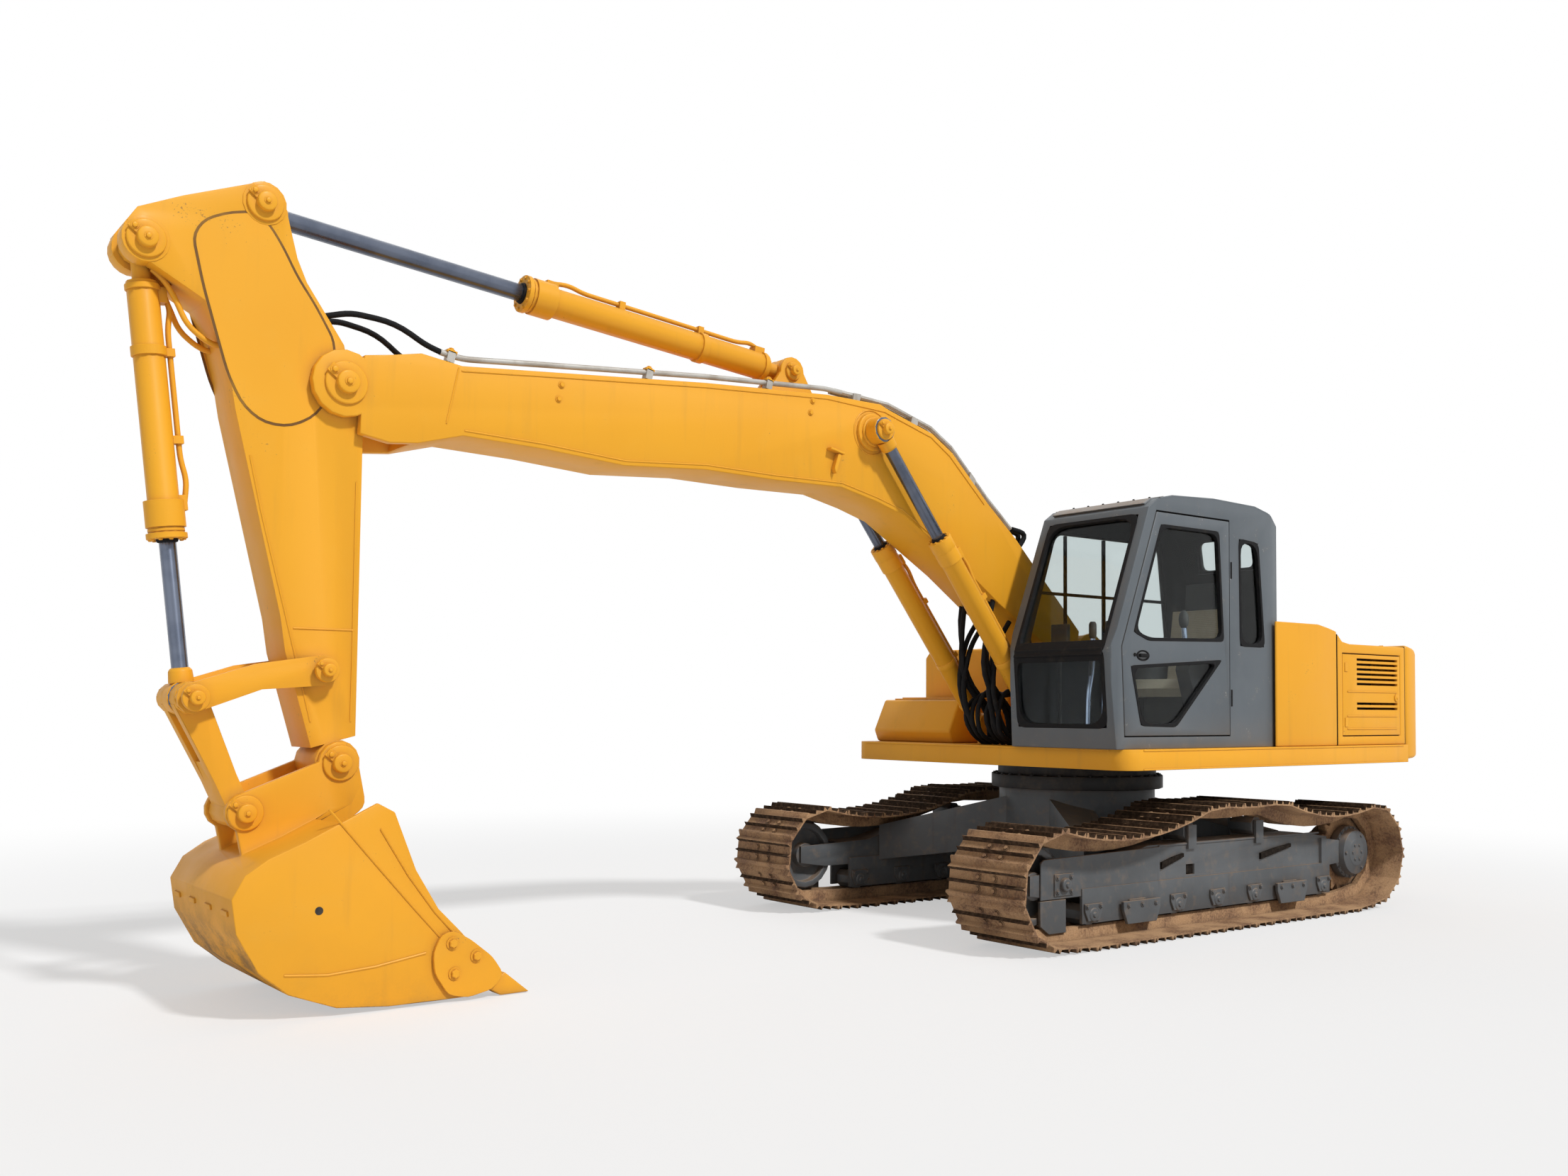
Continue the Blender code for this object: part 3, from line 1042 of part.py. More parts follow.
def barrel_shape(ram, y):
    """Foot eye, neck, tube and gland about the carrier's X, hollow for the rod."""
    outer, length = ram["outer"], ram["barrel"]
    hole = ram["rod"] + SEAT_GAP
    neck = RAM_EYE_HALF - RUN_GAP
    gland_start = length - GLAND_LENGTH
    profile = [(0, 0), (0, neck), (BARREL_CAP, neck), (BARREL_CAP, outer), (gland_start, outer),
               (gland_start, outer + GLAND_PROUD), (length, outer + GLAND_PROUD), (length, hole),
               (CAVITY_START, hole), (CAVITY_START, 0)]
    eye = disc(0, 0, ram["eye"], -RAM_EYE_HALF, RAM_EYE_HALF)
    return shifted(fused([turned(profile, RAM_SIDES, "X"), eye]), y)


def rod_shape(ram, reach, y):
    """A polished rod that ends in its eye, at the given reach from the barrel's foot."""
    rod = ram["rod"]
    start = reach - ram["length"]
    profile = [(start, 0), (start, rod), (reach, rod), (reach, 0)]
    eye = disc(reach, 0, ram["eye"], -RAM_EYE_HALF, RAM_EYE_HALF)
    return shifted(fused([turned(profile, RAM_SIDES, "X"), eye]), y)


def cylinder(name, ram, foot, pin, parent, places):
    """A cylinder's two bodies, aimed from its foot pin at its rod pin. Places: name ending, y."""
    dx, dz = pin[0] - foot[0], pin[1] - foot[1]
    axis = carrier(name + "_axis", *foot, atan2(dz, dx), parent)
    for ending, y in places:
        piece(name + "_barrel" + ending, barrel_shape(ram, y), "machine_orange", axis)
        piece(name + "_rod" + ending, rod_shape(ram, hypot(dx, dz), y), "bright_steel", axis)


cylinder("boom_cylinder", BOOM_RAM, RAM_FOOT, BOOM_RAM_PIN, slew, (("_left", RAM_Y), ("_right", -RAM_Y)))
cylinder("arm_cylinder", ARM_RAM, ARM_RAM_FOOT, ARM_RAM_PIN, boom_axis, (("", 0),))
cylinder("bucket_cylinder", CURL_RAM, CURL_RAM_FOOT, KNEE_PIN, arm_axis, (("", 0),))

# Bucket linkage: two idler plates outside the arm, and the link between them and the bucket

IDLER_PLATE = 0.030
IDLER_HEAD = 0.078
PIN_CAP = 0.045
PIN_PROUD = 0.020
PIN_SIDES = 8
IDLER_OUT = IDLER_IN + IDLER_PLATE
idler_axis = carrier("idler_axis", *IDLER_PIN, IDLER_ANGLE, arm_axis)
# shares of the idler's pin distance along it and across it
IDLER_SHARES = ((0, -0.12), (0.5, -0.045), (1, -0.11), (1, 0.11), (0.5, 0.155), (0, 0.12))


def idler_plate():
    """The left one: a bent plate with a round head at each pin."""
    plate = prism(scaled(IDLER_SHARES, IDLER_LENGTH, IDLER_LENGTH), IDLER_IN, IDLER_OUT)
    heads = [disc(x, 0, IDLER_HEAD, IDLER_IN, IDLER_OUT) for x in (0, IDLER_LENGTH)]
    caps = [disc(x, 0, PIN_CAP, IDLER_IN, IDLER_OUT + PIN_PROUD, PIN_SIDES) for x in (0, IDLER_LENGTH)]
    return fused([plate] + heads + caps)


left_idler = idler_plate()
piece("idler_link_right", flipped(left_idler), "machine_orange", idler_axis)
piece("idler_link_left", left_idler, "machine_orange", idler_axis)
link_axis = carrier("link_axis", *LINK_PIN, atan2(KNEE_PIN[1] - LINK_PIN[1], KNEE_PIN[0] - LINK_PIN[0]), bucket_axis)
link_length = hypot(LINK_PIN[0] - KNEE_PIN[0], LINK_PIN[1] - KNEE_PIN[1])
LINK_LUG_IN = RAM_EYE_HALF + RUN_GAP
LINK_LUG_OUT = 0.125
LINK_BOSS = 0.080
LINK_DEPTH = 0.055
# shares of the link's length, from the bucket's ears, where its two lugs start and its box ends
LINK_LUG_SHARE = 0.30
LINK_BOX_SHARE = 0.48
lug_start = link_length * LINK_LUG_SHARE
link_shapes = [disc(0, 0, LINK_BOSS, -FORK_HALF + SEAT_GAP, FORK_HALF - SEAT_GAP),
               block((0, -LINK_LUG_OUT, -LINK_DEPTH), (link_length * LINK_BOX_SHARE, LINK_LUG_OUT, LINK_DEPTH))]
for side in (1, -1):
    low, high = sorted((side * LINK_LUG_IN, side * LINK_LUG_OUT))
    lug = [(lug_start, -LINK_DEPTH), (link_length, -LINK_BOSS), (link_length, LINK_BOSS), (lug_start, LINK_DEPTH)]
    link_shapes.append(prism(lug, low, high))
    low, high = sorted((side * LINK_LUG_IN, side * idler_seat))
    link_shapes.append(disc(link_length, 0, LINK_BOSS, low, high))
piece("bucket_link", fused(link_shapes), "machine_orange", link_axis)

# Bucket: a rolled shell between two side plates, hung from two ears

# shares of the tip radius along the line to the teeth and out from it
BUCKET_SHARES = ((0.125, 0.040), (0.186, 0.012), (0.388, 0.068), (0.544, 0.084), (0.657, 0.069), (0.855, 0.052),
                 (0.868, 0.100), (0.845, 0.192), (0.786, 0.272), (0.686, 0.403), (0.570, 0.532), (0.430, 0.621),
                 (0.309, 0.650), (0.168, 0.630), (0.073, 0.578), (0.040, 0.503), (0.045, 0.417), (0.075, 0.300))
# the mouth's cut, from its heel past the teeth to the lip
MOUTH_SHARES = ((0.128, -0.20), (0.95, -0.20), (0.88, 0.052))
LIP_INDEX = 6            # the outline's point at the lip's outer edge
EAR_IN = FORK_HALF
EAR_OUT = 0.195
EAR_TIP = 0.110
EAR_TOP = 0.095
# the ears' root inside the shell
EAR_SHARES = ((0.106, -0.007), (0.165, 0.099), (0.106, 0.463))
bucket_side = scaled(BUCKET_SHARES, BUCKET_RADIUS, BUCKET_RADIUS)
inner_side = inset(bucket_side, BUCKET_WALL)
inner_half = BUCKET_HALF - BUCKET_WALL
cavity = scaled(MOUTH_SHARES, BUCKET_RADIUS, BUCKET_RADIUS) + inner_side[LIP_INDEX:]
ear_side = (arc(0, 0, EAR_TIP, 130, 230, 4) + scaled(EAR_SHARES, BUCKET_RADIUS, BUCKET_RADIUS)
            + arc(LINK_PIN_ALONG, LINK_PIN_OUT, EAR_TOP, 60, 190, 5))
shell_body = fused([prism(bucket_side, -BUCKET_HALF, BUCKET_HALF)], [prism(cavity, -inner_half, inner_half)])
ear_trim = prism(inner_side, -inner_half, inner_half)
ears = []
for side in (1, -1):
    ear = prism(ear_side, *sorted((side * EAR_IN, side * EAR_OUT)))
    ears.append(fused([ear], [ear_trim]))
piece("bucket", fused([shell_body] + ears), "machine_orange", bucket_axis)

TOOTH_COUNT = 5
TOOTH_HALF = 0.050
EDGE_DEPTH = 0.055
# a tooth, in shares of the tip radius like the bucket
TOOTH_SHARES = ((0.880, 0.030), (1, 0), (0.935, 0.088), (0.880, 0.110))
lip, lip_end = bucket_side[LIP_INDEX], bucket_side[LIP_INDEX - 1]
edge_shapes = [prism(along_edge(lip, lip_end, SEAT_GAP, EDGE_DEPTH), -BUCKET_HALF, BUCKET_HALF)]
tooth_side = scaled(TOOTH_SHARES, BUCKET_RADIUS, BUCKET_RADIUS)
for index in range(TOOTH_COUNT):
    middle = (BUCKET_HALF - TOOTH_HALF) * (2 * index / (TOOTH_COUNT - 1) - 1)
    edge_shapes.append(prism(tooth_side, middle - TOOTH_HALF, middle + TOOTH_HALF))
piece("bucket_teeth", fused(edge_shapes), "machine_orange", bucket_axis)

# Steel pipes along the boom's top, held by clamps

PIPE_RADIUS = 0.017
PIPE_LIFT = 0.045
PIPE_PLACES = (0.125, 0.175)
PIPE_SHARES = (0.165, 0.214, 0.284, 0.321, 0.391, 0.470)
CLAMP_SHARES = (0.245, 0.350, 0.440)
CLAMP_HALF = 0.030


def boom_top(along):
    """The height of the boom's top over its pin line."""
    points = scaled(BOOM_TOP_SHARES, BOOM_LENGTH, BOOM_LENGTH)[::-1]
    for (u0, v0), (u1, v1) in zip(points, points[1:]):
        if u0 <= along <= u1:
            return v0 + (v1 - v0) * (along - u0) / (u1 - u0)


pipe_shapes = []
for side in (1, -1):
    for place in PIPE_PLACES:
        run = [(share * BOOM_LENGTH, side * place, boom_top(share * BOOM_LENGTH) + PIPE_LIFT) for share in PIPE_SHARES]
        pipe_shapes.append(tube(run, PIPE_RADIUS))
for share in CLAMP_SHARES:
    start, stop = share * BOOM_LENGTH - CLAMP_HALF, share * BOOM_LENGTH + CLAMP_HALF
    foot = [(start, boom_top(start) + SEAT_GAP), (stop, boom_top(stop) + SEAT_GAP),
            (stop, boom_top(stop) + PIPE_LIFT), (start, boom_top(start) + PIPE_LIFT)]
    pipe_shapes.append(prism(foot, -BOOM_HALF + RUN_GAP, BOOM_HALF - RUN_GAP))
piece("boom_pipes", fused(pipe_shapes), "pipe_grey", boom_axis)
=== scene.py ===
import json
from math import atan2, cos, pi, radians, sin

import bpy
from mathutils import Matrix, Vector

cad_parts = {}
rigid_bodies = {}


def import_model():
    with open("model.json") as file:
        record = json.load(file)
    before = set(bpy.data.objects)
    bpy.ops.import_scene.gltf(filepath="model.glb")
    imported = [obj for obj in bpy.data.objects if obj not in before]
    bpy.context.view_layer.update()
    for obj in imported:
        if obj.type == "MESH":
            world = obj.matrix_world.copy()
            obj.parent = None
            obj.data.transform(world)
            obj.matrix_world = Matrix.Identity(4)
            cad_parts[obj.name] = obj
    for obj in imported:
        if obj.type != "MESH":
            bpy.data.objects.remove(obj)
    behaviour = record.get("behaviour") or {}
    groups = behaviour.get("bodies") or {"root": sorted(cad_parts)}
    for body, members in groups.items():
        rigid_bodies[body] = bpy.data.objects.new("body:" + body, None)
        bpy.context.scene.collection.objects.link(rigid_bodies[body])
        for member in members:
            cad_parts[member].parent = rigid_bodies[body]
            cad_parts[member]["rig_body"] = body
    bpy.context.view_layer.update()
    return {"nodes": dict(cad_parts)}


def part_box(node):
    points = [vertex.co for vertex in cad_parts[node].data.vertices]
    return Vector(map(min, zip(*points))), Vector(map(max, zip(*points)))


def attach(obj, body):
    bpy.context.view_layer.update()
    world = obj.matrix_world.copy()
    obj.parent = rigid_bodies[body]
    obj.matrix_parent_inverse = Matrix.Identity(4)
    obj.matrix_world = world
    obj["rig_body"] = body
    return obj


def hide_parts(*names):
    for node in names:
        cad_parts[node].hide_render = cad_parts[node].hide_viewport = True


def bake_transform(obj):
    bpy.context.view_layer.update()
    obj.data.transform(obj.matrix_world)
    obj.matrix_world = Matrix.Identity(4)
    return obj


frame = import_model()

# Camera, floor and light
# The camera stands ahead and to the left of the machine, at the height of a person's eyes. A pale
# floor fades into the white behind it, and one high soft lamp and two weak ones light the machine.


def placed(name, data):
    """A new object of this data in the scene."""
    made = bpy.data.objects.new(name, data)
    bpy.context.scene.collection.objects.link(made)
    return made


def pointing(turn, rise):
    """The direction so many degrees round from +X and so many up."""
    turn, rise = radians(turn), radians(rise)
    return Vector((cos(turn) * cos(rise), sin(turn) * cos(rise), sin(rise)))


CAMERA_PLACE = Vector((6.374, 7.258, 1.496))
CAMERA_HEADING, CAMERA_PITCH, CAMERA_ROLL = 233.045, 1.944, radians(0.33)
LENS = 32.11
SHIFT = (0.0096, 0.0476)
ahead = pointing(CAMERA_HEADING, CAMERA_PITCH)
level = ahead.cross(Vector((0, 0, 1))).normalized()
over = level.cross(ahead)
right = level * cos(CAMERA_ROLL) + over * sin(CAMERA_ROLL)
above = over * cos(CAMERA_ROLL) - level * sin(CAMERA_ROLL)
camera = placed("camera", bpy.data.cameras.new("camera"))
camera.data.sensor_width = 36
camera.data.lens = LENS
camera.data.shift_x, camera.data.shift_y = SHIFT
camera.data.clip_end = 200
camera.matrix_world = Matrix.Translation(CAMERA_PLACE) @ Matrix((right, above, -ahead)).transposed().to_4x4()
bpy.context.scene.camera = camera


class Value:
    """What one socket gives, so that shader maths is written as plain sums."""

    def __init__(self, finish, socket):
        self.finish = finish
        self.socket = socket

    def maths(self, operation, first, second=0.0):
        return self.finish.node("ShaderNodeMath", {0: first, 1: second}, operation=operation)

    def __add__(self, other):
        return self.maths("ADD", self, other)

    def __rsub__(self, other):
        return self.maths("SUBTRACT", other, self)

    def __mul__(self, other):
        return self.maths("MULTIPLY", self, other)

    __radd__ = __add__
    __rmul__ = __mul__

    def over(self, low, high):
        """0 below low, 1 above high, smooth between them."""
        return self.finish.node("ShaderNodeMapRange", {0: self, 1: low, 2: high},
                                interpolation_type="SMOOTHSTEP")

    def most(self, other):
        return self.maths("MAXIMUM", self, other)


class Finish:
    """A material, or the world, while its nodes are laid."""

    def __init__(self, name, kind="materials"):
        self.holder = getattr(bpy.data, kind).new(name)
        self.holder.use_nodes = True
        self.tree = self.holder.node_tree
        self.tree.nodes.clear()

    def node(self, kind, values=None, out=0, **settings):
        made = self.tree.nodes.new(kind)
        for key, setting in settings.items():
            setattr(made, key, setting)
        for key, value in (values or {}).items():
            if isinstance(value, Value):
                self.tree.links.new(value.socket, made.inputs[key])
            elif isinstance(value, tuple) and made.inputs[key].type == "RGBA":
                made.inputs[key].default_value = (*value, 1)
            else:
                made.inputs[key].default_value = value
        return Value(self, made.outputs[out])

    def place(self, stretch=(1, 1, 1)):
        spot = self.node("ShaderNodeTexCoord", out="Object")
        return self.node("ShaderNodeMapping", {"Vector": spot, "Scale": stretch})

    def noise(self, scale, detail=4.0, stretch=(1, 1, 1), rough=0.55):
        return self.node("ShaderNodeTexNoise", {"Vector": self.place(stretch), "Scale": scale,
                                                "Detail": detail, "Roughness": rough})

    def upward(self, out):
        """The Z part of a texture coordinate."""
        return self.node("ShaderNodeSeparateXYZ", {0: self.node("ShaderNodeTexCoord", out=out)}, out="Z")

    def facing_up(self):
        return self.upward("Normal")

    def height(self):
        return self.upward("Object")

    def crevices(self, reach):
        """1 deep in a corner, 0 in the open."""
        open_air = self.node("ShaderNodeAmbientOcclusion", {"Distance": reach}, out="AO", samples=4)
        return 1 - open_air.over(0.35, 0.95)

    def mix(self, share, first, second):
        return self.node("ShaderNodeMix", {0: share, 6: first, 7: second}, out=2, data_type="RGBA")

    def bump(self, height, depth, strength=1.0):
        return self.node("ShaderNodeBump", {"Height": height, "Distance": depth, "Strength": strength})

    def shader(self, **values):
        named = {key.replace("_", " ").title().replace("Ior", "IOR"): value for key, value in values.items()}
        return self.node("ShaderNodeBsdfPrincipled", named)

    def done(self, shader, end="ShaderNodeOutputMaterial"):
        self.tree.links.new(shader.socket, self.tree.nodes.new(end).inputs["Surface"])
        return self.holder


def deselected():
    """Nothing selected, in object mode."""
    if bpy.context.object and bpy.context.object.mode != "OBJECT":
        bpy.ops.object.mode_set(mode="OBJECT")
    bpy.ops.object.select_all(action="DESELECT")


FLOOR_RADIUS = 60.0
FADE_START, FADE_END = 5.0, 13.0
FLOOR_DROP = 0.002
deselected()
bpy.ops.mesh.primitive_circle_add(vertices=96, radius=FLOOR_RADIUS, fill_type="NGON",
                                      location=(0, 0, -FLOOR_DROP))
floor = bpy.context.object
floor.name = "floor"
bpy.ops.object.mode_set(mode="EDIT")
bpy.ops.mesh.inset(thickness=FLOOR_RADIUS / 2)
bpy.ops.object.mode_set(mode="OBJECT")
bpy.ops.object.transform_apply(location=True)
paint = Finish("pale floor")
distance = paint.node("ShaderNodeVectorMath", {0: paint.node("ShaderNodeTexCoord", out="Object")}, out="Value",
                      operation="LENGTH")
pale = paint.node("ShaderNodeBsdfDiffuse", {"Color": (0.86, 0.86, 0.86)})
white = paint.node("ShaderNodeEmission", {"Color": (1.0, 1.0, 1.0), "Strength": 1.0})
seen = paint.node("ShaderNodeLightPath", out="Is Camera Ray")
shown = seen * (0.50 + 0.50 * distance.over(FADE_START, FADE_END))
floor.data.materials.append(paint.done(paint.node("ShaderNodeMixShader", {0: shown, 1: pale, 2: white})))

AMBIENT = 0.25
sky = Finish("studio", "worlds")
seen, mirrored, through = (sky.node("ShaderNodeLightPath", out=ray)
                           for ray in ("Is Camera Ray", "Is Glossy Ray", "Is Transmission Ray"))
strength = sky.node("ShaderNodeMapRange", {"Value": seen.most(mirrored).most(through),
                                           "To Min": AMBIENT, "To Max": 1.0})
glow = sky.node("ShaderNodeBackground", {"Color": (1, 1, 1), "Strength": strength})
bpy.context.scene.world = sky.done(glow, "ShaderNodeOutputWorld")

# lamp: direction that it stands in (degrees round from +X, degrees up), strength, softness in degrees
LAMPS = {"key_lamp": (102, 45, 2.40, 6), "front_lamp": (20, 25, 0.16, 60), "rear_lamp": (250, 40, 0.40, 60)}
for name, (turn, rise, power, soft) in LAMPS.items():
    lamp = placed(name, bpy.data.lights.new(name, "SUN"))
    lamp.data.energy = power
    lamp.data.angle = radians(soft)
    lamp.matrix_world = pointing(turn, rise).to_track_quat("Z", "Y").to_matrix().to_4x4()
bpy.context.scene.view_settings.view_transform = "Standard"

# Tracks
# Each track is a chain of forged links that carries rolled steel shoes with three bars, every shoe
# held by four bolts. Bare steel, brown with rust and with dry soil trodden into it.
# Painted shade darkens the track's crevices and the grooves between its shoes.


def working_on(*pieces):
    """These pieces selected, the first one active."""
    deselected()
    for piece in pieces:
        piece.select_set(True)
    bpy.context.view_layer.objects.active = pieces[0]


def rounded(piece, width, segments=2, angle=30, smooth=35):
    """The piece with its edges rounded off and its curved faces shaded smooth."""
    working_on(piece)
    if width > 0:
        edge = piece.modifiers.new("edge", "BEVEL")
        edge.width = width
        edge.segments = segments
        edge.limit_method = "ANGLE"
        edge.angle_limit = radians(angle)
        bpy.ops.object.modifier_apply(modifier=edge.name)
    bpy.ops.object.shade_smooth_by_angle(angle=radians(smooth))
    return piece


def copied(node, name, joining=lambda face: True):
    """A copy of a frame node's mesh, its seams merged and its flat faces joined where they may be."""
    piece = placed(name, frame["nodes"][node].data.copy())
    piece.data.name = name
    piece.data.materials.clear()
    working_on(piece)
    bpy.ops.object.mode_set(mode="EDIT")
    bpy.ops.mesh.select_mode(type="FACE")
    bpy.ops.mesh.select_all(action="SELECT")
    bpy.ops.mesh.remove_doubles(threshold=0.00005)
    bpy.ops.mesh.select_all(action="DESELECT")
    bpy.ops.object.mode_set(mode="OBJECT")
    for face in piece.data.polygons:
        face.select = joining(face)
    bpy.ops.object.mode_set(mode="EDIT")
    bpy.ops.mesh.dissolve_limited(angle_limit=radians(0.4))
    bpy.ops.object.mode_set(mode="OBJECT")
    return piece


def fitted(piece, body, coat, *nodes):
    """The finished piece on its body, in its coat's finish, in place of the named nodes; the coat's slot is not
    used.
    """
    slot, finish = coat
    if not piece.data.materials:
        piece.data.materials.append(finish)
    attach(piece, body)
    if nodes:
        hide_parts(*nodes)
    return piece


def joined(pieces, name):
    """Several pieces made one."""
    working_on(*pieces)
    if len(pieces) > 1:
        bpy.ops.object.join()
    piece = bpy.context.object
    piece.name = name
    piece.data.name = name
    return piece


def moved(piece, matrix):
    """The piece with its mesh set by a matrix."""
    piece.data.transform(matrix)
    return piece


def copies(model, places, name):
    """One piece of many copies of a model, each set by a matrix. The model itself is used up."""
    made = [moved(placed(name, model.data.copy()), place) for place in places]
    bpy.data.objects.remove(model)
    return joined(made, name)


def facing(point, direction, spin=0.0):
    """A matrix that stands a model's +Z on a point, facing a direction."""
    turn = Vector(direction).to_track_quat("Z", "Y").to_matrix().to_4x4()
    return Matrix.Translation(point) @ turn @ Matrix.Rotation(spin, 4, "Z")


def turned(name, profile, sides=32):
    """A piece turned about +Z: pairs of height and radius from the lower end up, its ends closed."""
    deselected()
    start, radius = profile[0]
    bpy.ops.mesh.primitive_circle_add(vertices=sides, radius=radius, fill_type="NGON", location=(0, 0, start))
    piece = bpy.context.object
    piece.name = name
    bpy.ops.object.transform_apply(location=True)
    bpy.ops.object.mode_set(mode="EDIT")
    bpy.ops.mesh.select_all(action="SELECT")
    for height, wide in profile[1:]:
        bpy.ops.mesh.extrude_region_move(TRANSFORM_OT_translate={"value": (0, 0, height - start)})
        bpy.ops.transform.resize(value=(wide / radius, wide / radius, 1))
        start, radius = height, wide
    bpy.ops.mesh.select_all(action="SELECT")
    bpy.ops.mesh.normals_make_consistent(inside=False)
    bpy.ops.object.mode_set(mode="OBJECT")
    return piece


BOLT_HEX = 0.014


def bolt(size=1.0, name="bolt"):
    """A hexagon head with a turned top on its washer, about the size of an M20."""
    head = turned(name, ((-0.004, BOLT_HEX), (0.010, BOLT_HEX), (0.0125, BOLT_HEX * 0.82)), 6)
    washer = turned(name, ((-0.004, BOLT_HEX * 1.45), (0.003, BOLT_HEX * 1.45)), 12)
    return moved(joined([head, washer], name), Matrix.Scale(size, 4))


def bolted(size, places, name, body, coat):
    """One piece of bolts, fitted to its body."""
    return fitted(copies(bolt(size), places, name), body, coat)


def track_steel():
    paint = Finish("trodden track steel")
    patches = paint.noise(5.0, 6.0)
    grain = paint.noise(55.0, 6.0, rough=0.7)
    crumbs = paint.noise(190.0, 3.0)
    soil = (patches * 0.8 + grain * 0.4).over(0.44, 0.72)
    rust = paint.mix(grain.over(0.35, 0.65), (0.130, 0.062, 0.030), (0.250, 0.130, 0.060))
    dry = paint.mix(crumbs.over(0.3, 0.7), (0.360, 0.205, 0.100), (0.500, 0.310, 0.165))
    colour = paint.mix(soil, rust, dry)
    # near black in corners and between the shoes' parts: painted shade
    colour = paint.mix(paint.crevices(0.04) * 0.75, colour, (0.035, 0.020, 0.012))
    rubbed = grain.over(0.62, 0.75) * (1 - soil)
    colour = paint.mix(rubbed * 0.6, colour, (0.16, 0.13, 0.11))
    return paint.done(paint.shader(base_color=colour, roughness=0.72 + 0.2 * soil, metallic=rubbed * 0.7,
                                   normal=paint.bump(grain * 0.7 + crumbs * 0.3, 0.006, 0.8)))


def clouded(name, cloud, spread, tints, rough, grain=None, **more):
    """A finish in clouds of two tints. Cloud: scale, detail. Rough: least, gain.
    Grain: scale, detail, depth, force."""
    paint = Finish(name)
    shade = paint.noise(*cloud)
    if grain:
        more["normal"] = paint.bump(paint.noise(*grain[:2]), *grain[2:])
    return paint.done(paint.shader(base_color=paint.mix(shade.over(*spread), *tints),
                                   roughness=rough[0] + rough[1] * shade, **more))


def dark_gap(name, colour):
    return clouded(name, (30.0, 4.0), (0.4, 0.7), (colour, tuple(2.4 * c for c in colour)), (0.95, -0.1),
                   specular_ior_level=0.1)


def two_toned(piece, main, second, chosen):
    """The piece in its main finish, the chosen faces in the second."""
    piece.data.materials.append(main)
    piece.data.materials.append(second)
    for face in piece.data.polygons:
        face.material_index = int(chosen(face))
    return piece


def runs_across(track, face, width, least, most):
    """Whether a face spans the track's width and is so deep."""
    corners = [track.data.vertices[i].co.y for i in face.vertices]
    return max(corners) - min(corners) > width * 0.98 and least < face.area / width < most


RUSTY = ("rusty_steel", track_steel())
SHADE = ("dark_steel", dark_gap("dark gap", (0.012, 0.009, 0.007)))
# the steep faces between the shoes, near black: painted shade in the gaps between them
groove_shade_finish = dark_gap("trodden groove", (0.042, 0.026, 0.016))
SHOE_LAND, SHOE_GROOVE = (0.045, 0.075), (0.028, 0.040)
BOLT_ROW = 0.0675
for side in ("left", "right"):
    node = "track_" + side
    track = copied(node, side + "_track", lambda face: abs(face.normal.y) < 0.5)
    low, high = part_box(node)
    middle = (low.y + high.y) / 2
    width = high.y - low.y
    places = [facing((face.center.x, middle + y, face.center.z), face.normal, 0.3)
              for face in track.data.polygons
              if runs_across(track, face, width, *SHOE_LAND) for y in (-BOLT_ROW, BOLT_ROW)]
    two_toned(track, RUSTY[1], groove_shade_finish, lambda face: runs_across(track, face, width, *SHOE_GROOVE))
    bolted(1.05, places, side + "_shoe_bolts", "undercarriage", RUSTY)
    fitted(rounded(track, 0.003, 1), "undercarriage", RUSTY, node)

# Idlers, sprockets and final drives
# Cast idlers and toothed rims run between the chain's links. Each rim is bolted to a round final
# drive, painted the grey of the undercarriage.


def frame_paint(name, colour, soil):
    paint = Finish(name)
    patches = paint.noise(2.2, 5.0)
    cloud = paint.noise(14.0, 6.0)
    grain = paint.noise(120.0, 5.0)
    drips = paint.noise(16.0, 5.0, stretch=(1, 1, 0.15))
    tinted = paint.mix(patches.over(0.35, 0.65), colour, tuple(c * 0.72 for c in colour))
    tinted = paint.mix(drips.over(0.55, 0.75) * 0.35, tinted, (0.06, 0.05, 0.045))
    dusty = (paint.facing_up().over(0.3, 0.9) * 0.55 + cloud.over(0.50, 0.75) * soil * 0.6)
    dusty = dusty * (0.55 + 0.6 * cloud) + paint.crevices(0.05) * 0.15
    tinted = paint.mix(dusty, tinted, (0.33, 0.215, 0.125))
    chips = (cloud * 0.6 + grain * 0.4).over(0.66, 0.69)
    tinted = paint.mix(chips * 0.8, tinted, (0.11, 0.05, 0.03))
    return paint.done(paint.shader(base_color=tinted, roughness=0.45 + 0.35 * dusty + 0.1 * grain,
                                   normal=paint.bump(grain * 0.5 + cloud * 0.5, 0.0012, 0.5)))


def around(count):
    """The angles of so many even steps of a full turn."""
    return [step * 2 * pi / count for step in range(count)]


def dressed(node, name, body, coat, width, segments=2, angle=30):
    """A frame node's mesh with its edges rounded, in its coat and in the node's place."""
    return fitted(rounded(copied(node, name), width, segments, angle), body, coat, node)


GREY = ("frame_grey", frame_paint("undercarriage grey", (0.092, 0.100, 0.107), 0.35))
